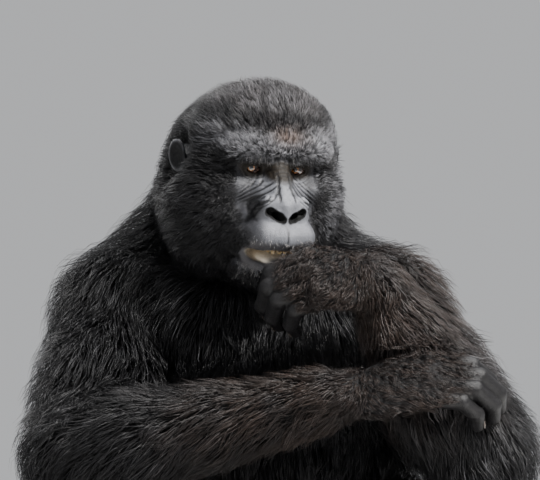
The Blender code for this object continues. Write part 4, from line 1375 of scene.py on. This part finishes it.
def skinLook():
    look = Look("bare_skin")
    s = skinGrain
    blotch, fine, pores = look.noise(s["blotch"], 5), look.noise(s["fine"], 3), look.cells(s["pore"])
    bare, fold, lip, mouth, hand = (look.mark(n) for n in ("bare", "fold", "lip", "mouth", "hand"))
    socket, hollow, shine = (look.mark(n) for n in ("socket", "hollow", "shine"))
    colour = look.mix(look.stepped(blotch, 0.36, 0.66), skinTones["grey"], skinTones["pale"])
    # painted highlight: the middle of the face drawn paler; the same mark also makes it glossier
    colour = look.mix(shine * 0.6, colour, skinTones["nose"])
    # painted shade: face darker towards its edges and most on its right side, ears darker, most in their
    # bowls
    colour = look.mix(look.mark("outer") * 0.75, colour, skinTones["outer"])
    # round the eyes the skin's own darker tone and the brow's painted shadow; on the root of the nose
    # painted shadow only
    colour = look.mix(socket, colour, skinTones["socket"])
    colour = look.mix(hand, colour, skinTones["hand"])
    # painted shade: the creases of face and knuckles drawn darker by their depth
    colour = look.mix(look.stepped(fold, 0.0, 1.0) * 0.85, colour, skinTones["deep"])
    colour = look.mix(lip * 0.7, colour, skinTones["lip"])
    colour = look.mix(mouth, colour, skinTones["mouth"])
    colour = look.mix(bare, skinTones["underCoat"], colour)
    # painted shade: nostrils and ear bowls drawn near black
    colour = look.mix(hollow, colour, skinTones["hollow"])
    rough = look.stepped(fine, 0.3, 0.7, (0.36, 0.50)) - 0.09 * shine - 0.10 * mouth - 0.03 * hand
    rough = rough + 0.45 * hollow + 0.22 * socket + 0.40 * (1 - bare)
    relief = 0.6 * fine + look.stepped(pores, 0.0, 0.9) * 0.5 + 0.5 * look.noise(s["lump"], 2)
    return look.finish(Base_Color=colour, Roughness=rough, Specular_IOR_Level=0.20,
                       Normal=look.bump(relief, s["relief"], 0.8))


hairGrain = {"patch": 0.06, "fibre": 0.0011, "relief": 0.0003}


def hairLook():
    look = Look("coat_hair")
    tipward, brown, shade = (look.mark(n) for n in ("tipward", "brown", "shade"))
    patches = look.noise(hairGrain["patch"], 3)
    # reddish where the hair is brown, and warmer too where the painted sheen is
    warm = look.stepped(brown * (0.5 + 0.8 * patches) + 0.30 * shade - 0.15, 0.12, 1.0)
    # painted sheen: the lighter strands, most towards their tips, drawn grey as if catching the light
    pale = look.stepped(shade, 0.40, 1.0)
    lit = pale * pale * (0.2 + 0.8 * tipward)
    colour = look.mix(lit, hairTones["black"], hairTones["grey"])
    colour = look.mix(warm * (0.35 + 0.65 * tipward), colour, hairTones["brown"])
    rough = look.stepped(shade, 0.0, 1.0, (0.40, 0.54))
    fibre = look.bump(look.noise(hairGrain["fibre"], 2), hairGrain["relief"], 0.5)
    return look.finish(Base_Color=colour, Roughness=rough, Specular_IOR_Level=0.32, Normal=fibre)


def bristleLook():
    look = Look("pale_bristle")
    shade = look.mark("shade")
    colour = look.mix(shade, hairTones["grey"], hairTones["bristle"])
    return look.finish(Base_Color=colour, Roughness=look.stepped(shade, 0.0, 1.0, (0.35, 0.5)))


eyeStops = (  # distance from the middle of the pupil, and the colour there
    (0.00, (0.001, 0.001, 0.001)),
    (0.235, (0.001, 0.001, 0.001)),
    (0.265, (0.17, 0.075, 0.022)),
    (0.38, (0.12, 0.048, 0.014)),
    (0.48, (0.030, 0.012, 0.006)),
    (0.53, (0.005, 0.003, 0.003)),
    (0.62, (0.022, 0.012, 0.009)),
    (0.80, (0.050, 0.030, 0.023)),
    (1.0, (0.030, 0.016, 0.013)),
)


def eyeLook():
    look = Look("wet_eye")
    iris = look.add("ShaderNodeValToRGB", {"stops": eyeStops}, {"Fac": look.mark("offAxis")})
    flecks = look.stepped(look.mark("streak"), 0.25, 0.8, (0.55, 1.25))
    tinted = look.add("ShaderNodeVectorMath", {"operation": "SCALE"}, {0: iris, "Scale": flecks})
    veins = look.stepped(look.noise(0.0016, 3), 0.35, 0.7, (0.05, 0.10))
    return look.finish(Base_Color=tinted, Roughness=veins, Coat_Weight=1.0, Coat_Roughness=0.02)


nailHorn = {
    "grain": 0.0016,
    "change": (0.3, 0.75),
    "tones": ((0.022, 0.019, 0.018), (0.085, 0.070, 0.058)),
    "wear": (0.004, 3),
    "rough": (0.24, 0.42),
    "relief": 0.6,
}
stainedTooth = {
    "grain": 0.0045,
    "change": (0.35, 0.65),
    "tones": ((0.46, 0.33, 0.15), (0.11, 0.060, 0.025)),
    "wear": (0.002, 2),
    "rough": (0.18, 0.34),
    "relief": 0.5,
}


def grainedLook(name, s):
    # two tones along the grain, and a gloss that comes and goes
    look = Look(name)
    grain = look.noise(s["grain"], 4)
    colour = look.mix(look.stepped(grain, *s["change"]), *s["tones"])
    rough = look.stepped(look.noise(*s["wear"]), 0.3, 0.7, s["rough"])
    return look.finish(Base_Color=colour, Roughness=rough, Normal=look.bump(grain, 0.0003, s["relief"]))


def floorLook():
    look = Look("plain_floor")
    fine = look.noise(0.02, 4)
    colour = look.mix(fine, (0.70, 0.695, 0.685), (0.74, 0.735, 0.725))
    return look.finish(Base_Color=colour, Roughness=look.stepped(fine, 0.3, 0.7, (0.72, 0.82)))


# eyes
eyeShape = {
    "gaze": (-0.10, -1.0, -0.02),
    "iris": 6.4,
    "white": 12.0,  # radius at which the markings of the ball end
    "bulge": 0.9,
    "across": 48,
    "down": 36,
    "fit": 0.985,  # a little smaller than its socket
}


def buildEye(side, look):
    # a ball with its pole on the gaze, and the clear front bulging over the iris
    s = eyeShape
    name = "left_eyeball" if side > 0 else "right_eyeball"
    away = np.linspace(0, 1, s["down"]) ** 1.25 * math.pi
    turn = np.arange(s["across"]) * 2 * math.pi / s["across"]
    gaze = unit(vec(*s["gaze"])) @ headAxes
    right = unit(np.cross(gaze, vec(0, 0, 1)))
    up = np.cross(right, gaze)
    points = [gaze * (eyeRadius + s["bulge"])]
    off = [0.0]
    streak = [0.5]
    for a in away[1:-1]:
        flat = math.sin(a) * eyeRadius
        swell = s["bulge"] * max(0.0, 1 - (flat / s["iris"]) ** 2) if a < math.pi / 2 else 0.0
        for k, b in enumerate(turn):
            way = gaze * math.cos(a) + (right * math.cos(b) + up * math.sin(b)) * math.sin(a)
            points.append(way * (eyeRadius + swell))
            off.append(min(1.0, flat / s["white"]) if a < math.pi / 2 else 1.0)
            streak.append(0.5 + 0.5 * math.sin(b * 17 + 2.0 * math.sin(b * 5)) * math.sin(b * 7 + 1))
    points.append(-gaze * eyeRadius)
    off.append(1.0)
    streak.append(0.5)
    n = s["across"]
    k = np.arange(n)
    after = (k + 1) % n
    last = len(points) - 1
    caps = [np.stack([np.zeros(n, int), 1 + k, 1 + after], axis=1),
            np.stack([np.full(n, last), last - n + after, last - n + k], axis=1)]
    bands = []
    for i in range(s["down"] - 3):
        upper, lower = 1 + i * n, 1 + (i + 1) * n
        bands.append(np.stack([upper + k, lower + k, lower + after, upper + after], axis=1))
    local = np.array(points) * s["fit"] + vec(eyeHalfGap * side, eyeDepth, 0)
    faces = [np.concatenate(caps), np.concatenate(bands)]
    mesh = meshFrom(name, fromHead(local) + vec(*originShift), faces)
    keepAttribute(mesh, "offAxis", off)
    keepAttribute(mesh, "streak", streak)
    eye = placed(name, mesh, look)
    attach(eye, "root")
    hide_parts("left_eye" if side > 0 else "right_eye")


# pale bristles round the lower lip
bristles = {
    "count": 380,
    "brow": 90,
    "width": 0.30,
    "length": (4.0, 9.0),
    "browLonger": 1.5,
    "onLip": 0.16,  # share of the lip's places that may hold one
}


def buildBristles(points, normals, look):
    q = toHead(points)
    x, y, z = mirroredIn(q).T
    onHead = np.abs(headField(q)) < 2.5
    chin = (x < 44) & (z < -122) & (z > -150) & (y < 0)
    lip = (x < 46) & (z < -76) & (z > -90) & (y < -20)
    pool = np.flatnonzero((chin | (lip & (draws.random(len(q)) < bristles["onLip"]))) & onHead)
    edge = (np.abs(x - 33) < 21) & (np.abs(z - 19) < 5) & (y < 10) & onHead
    pick = draws.choice(pool, bristles["count"])
    pick = np.concatenate([pick, draws.choice(np.flatnonzero(edge), bristles["brow"])])
    roots, up = points[pick], normals[pick]
    down = vec(0, -0.2, -1) @ headAxes.T
    length = draws.uniform(*bristles["length"], len(pick)) / 1000
    length[bristles["count"]:] *= bristles["browLonger"]
    flow = scaled(up * 0.8 + down + draws.normal(size=roots.shape) * 0.4)
    tip = roots + flow * length[:, None] + vec(0, 0, -0.15) * length[:, None]
    path = [roots - up * 0.0004, roots + flow * (length * 0.5)[:, None], tip]
    width = np.full(len(pick), bristles["width"] / 1000)
    mesh = lockMesh("cheeks", path, up, width, np.zeros(len(pick)), draws.random(len(pick)))
    piece = placed("lip_bristles", mesh, look)
    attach(piece, "root")


# put the animal together
def markSkin(mesh, points, rise):
    # what the skin's look reads at each point, each from 0 to 1
    q = toHead(points)
    m = mirroredIn(q)
    x, y, z = m.T
    fields = partFields(points)
    depth = coatDepth(points, sharesOf(fields))
    armNear = np.minimum(fields["arm", 1], fields["arm", -1])
    onHead = ramp(armNear - fields["head"], -0.001, 0.001)
    face = faceMask(q) * onHead
    mouth = np.linalg.norm((q - vec(0, -30, -108)) / vec(41, 33, 13), axis=1)
    fromEar = fromEarAt(q)
    earPart = 1 - ramp(np.linalg.norm(fromEar, axis=1), 24, 30)
    concha = 1 - ramp(ball(fromEar @ turnMatrix(*ear["turn"]), *ear["bowl"]), 1.2, 4.5)
    nostril = (1 - ramp(inRuns(nostrils, m), 1.4, 2.8)) * onHead
    fromEye = np.sqrt(((x - eyeHalfGap) / 25) ** 2 + ((z - 3) / 17) ** 2)
    # painted shadow of the brow across the root of the nose
    browShadowOnBridge = (1 - ramp(x, 16, 24)) * ramp(z, -15, -5)
    # painted shade: darker towards the face's edges, far more on its right side, which is turned from the
    # key light
    shaded = face * np.where(q[:, 0] < 0, ramp(x, 20, 40), 0.8 * ramp(x, 34, 54))
    paws = [inRuns(lambda p: handField(p, arm), points) for arm in arms]
    paws += [inRuns(lambda p: footField(p, leg), points) for leg in legs]
    nearPaw = 1 - ramp(np.min(paws, axis=0), 0.003, 0.010)
    bare = (1 - ramp(depth, 0.001, 0.006)) * np.maximum(nearPaw, onHead)
    marks = {
        # painted shade in the creases of face and knuckles, by their depth
        "fold": np.clip(-rise * 1000 / 1.2, 0, 1),
        "mouth": (1 - ramp(mouth, 0.84, 1.10)) * ramp(y, -54, -40) * onHead,
        # painted shade inside the nostrils and the bowls of the ears
        "hollow": np.maximum(nostril, 0.8 * concha * earPart),
        # darker skin round the eyes with the brow's painted shadow over it, and painted shadow on the root
        # of the nose
        "socket": face * np.maximum(1 - ramp(fromEye, 0.6, 1.1), browShadowOnBridge),
        "bare": np.maximum(bare, earPart),
        # painted shade on the face's edges and right side, and on the ears, deepest in their bowls
        "outer": np.clip(shaded + earPart * (0.50 + concha), 0, 1),
        "lip": face * within(z, -132, -86, 3) * ramp(-y, 5, 20),
        # middle of the face: glossier, and painted paler as a highlight
        "shine": face * (1 - ramp(x, 25, 50)),
        "hand": 1 - onHead,
    }
    for name, values in marks.items():
        keepAttribute(mesh, name, values)


skinMesh, skinPoints, rise = buildSkin()
markSkin(skinMesh, skinPoints, rise)
print("skin:", len(skinMesh.polygons), "faces")

bareSkin, hair = skinLook(), hairLook()
buildCoat(skinMesh, hair)
buildBristles(skinPoints, readVectors(skinMesh.vertices, "normal"), bristleLook())
skinMesh.vertices.foreach_set("co", (skinPoints + vec(*originShift)).ravel())
skinMesh.update()
skin = placed("skin", skinMesh, bareSkin)
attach(skin, "root")
hardParts = ("nail", "eye", "teeth")
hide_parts(*[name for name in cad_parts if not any(word in name for word in hardParts)])

wetEye = eyeLook()
for side in (1, -1):
    buildEye(side, wetEye)
hardLooks = {"nail": grainedLook("nail_horn", nailHorn), "teeth": grainedLook("tooth", stainedTooth)}
for word, look in hardLooks.items():
    for name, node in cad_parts.items():
        if word in name:
            for slot in node.material_slots:
                slot.material = look
print("eyes, nails and teeth done")

# floor, lights and camera
setting = {
    "floorSize": 3.6,
    "lights": (
        # name, place, aim, size, power, colour
        ("key", (1.9, -1.5, 3.0), (0.0, 0.0, 0.52), 0.5, 500.0, (1.0, 0.985, 0.96)),
        ("fill", (-2.4, -2.6, 1.3), (0.0, 0.0, 0.45), 2.2, 22.0, (0.95, 0.97, 1.0)),
        ("top", (0.3, 0.4, 3.0), (0.0, 0.0, 0.45), 1.6, 90.0, (1.0, 1.0, 1.0)),
        ("back", (-1.6, 2.4, 1.9), (0.0, 0.0, 0.50), 1.5, 32.0, (1.0, 1.0, 1.0)),
    ),
    "world": (0.86, 0.87, 0.89),
    "worldStrength": 0.60,
    "cameraAim": (0.0105 + originShift[0], -0.205 + originShift[1], 0.584),
    "cameraAway": 6.075,
    "lens": 300.0,
}


def pointAt(obj, place, aim):
    obj.location = place
    obj.rotation_euler = (Vector(aim) - Vector(place)).to_track_quat("-Z", "Y").to_euler()
    bpy.context.scene.collection.objects.link(obj)


def buildStage():
    half = setting["floorSize"] / 2
    square = np.array([(-half, -half, 0), (half, -half, 0), (half, half, 0), (-half, half, 0)])
    mesh = meshFrom("plain_floor", square, [np.array([[0, 1, 2, 3]])], False)
    floor = placed("plain_floor", mesh, floorLook())
    for name, place, aim, size, power, colour in setting["lights"]:
        light = bpy.data.lights.new(name, "AREA")
        light.shape = "DISK"
        light.size = size
        light.energy = power
        light.color = colour
        pointAt(bpy.data.objects.new(name, light), place, aim)
    world = bpy.data.worlds.new("soft_room")
    world.use_nodes = True
    sky = world.node_tree.nodes["Background"]
    sky.inputs["Color"].default_value = (*setting["world"], 1.0)
    sky.inputs["Strength"].default_value = setting["worldStrength"]
    bpy.context.scene.world = world
    camera = bpy.data.cameras.new("camera")
    camera.lens = setting["lens"]
    camera.sensor_width = 36.0
    aim = vec(*setting["cameraAim"])
    pointAt(bpy.data.objects.new("camera", camera), aim - vec(0, setting["cameraAway"], 0), aim)
    bpy.context.scene.camera = bpy.data.objects["camera"]


buildStage()
print("floor, lights and camera done")
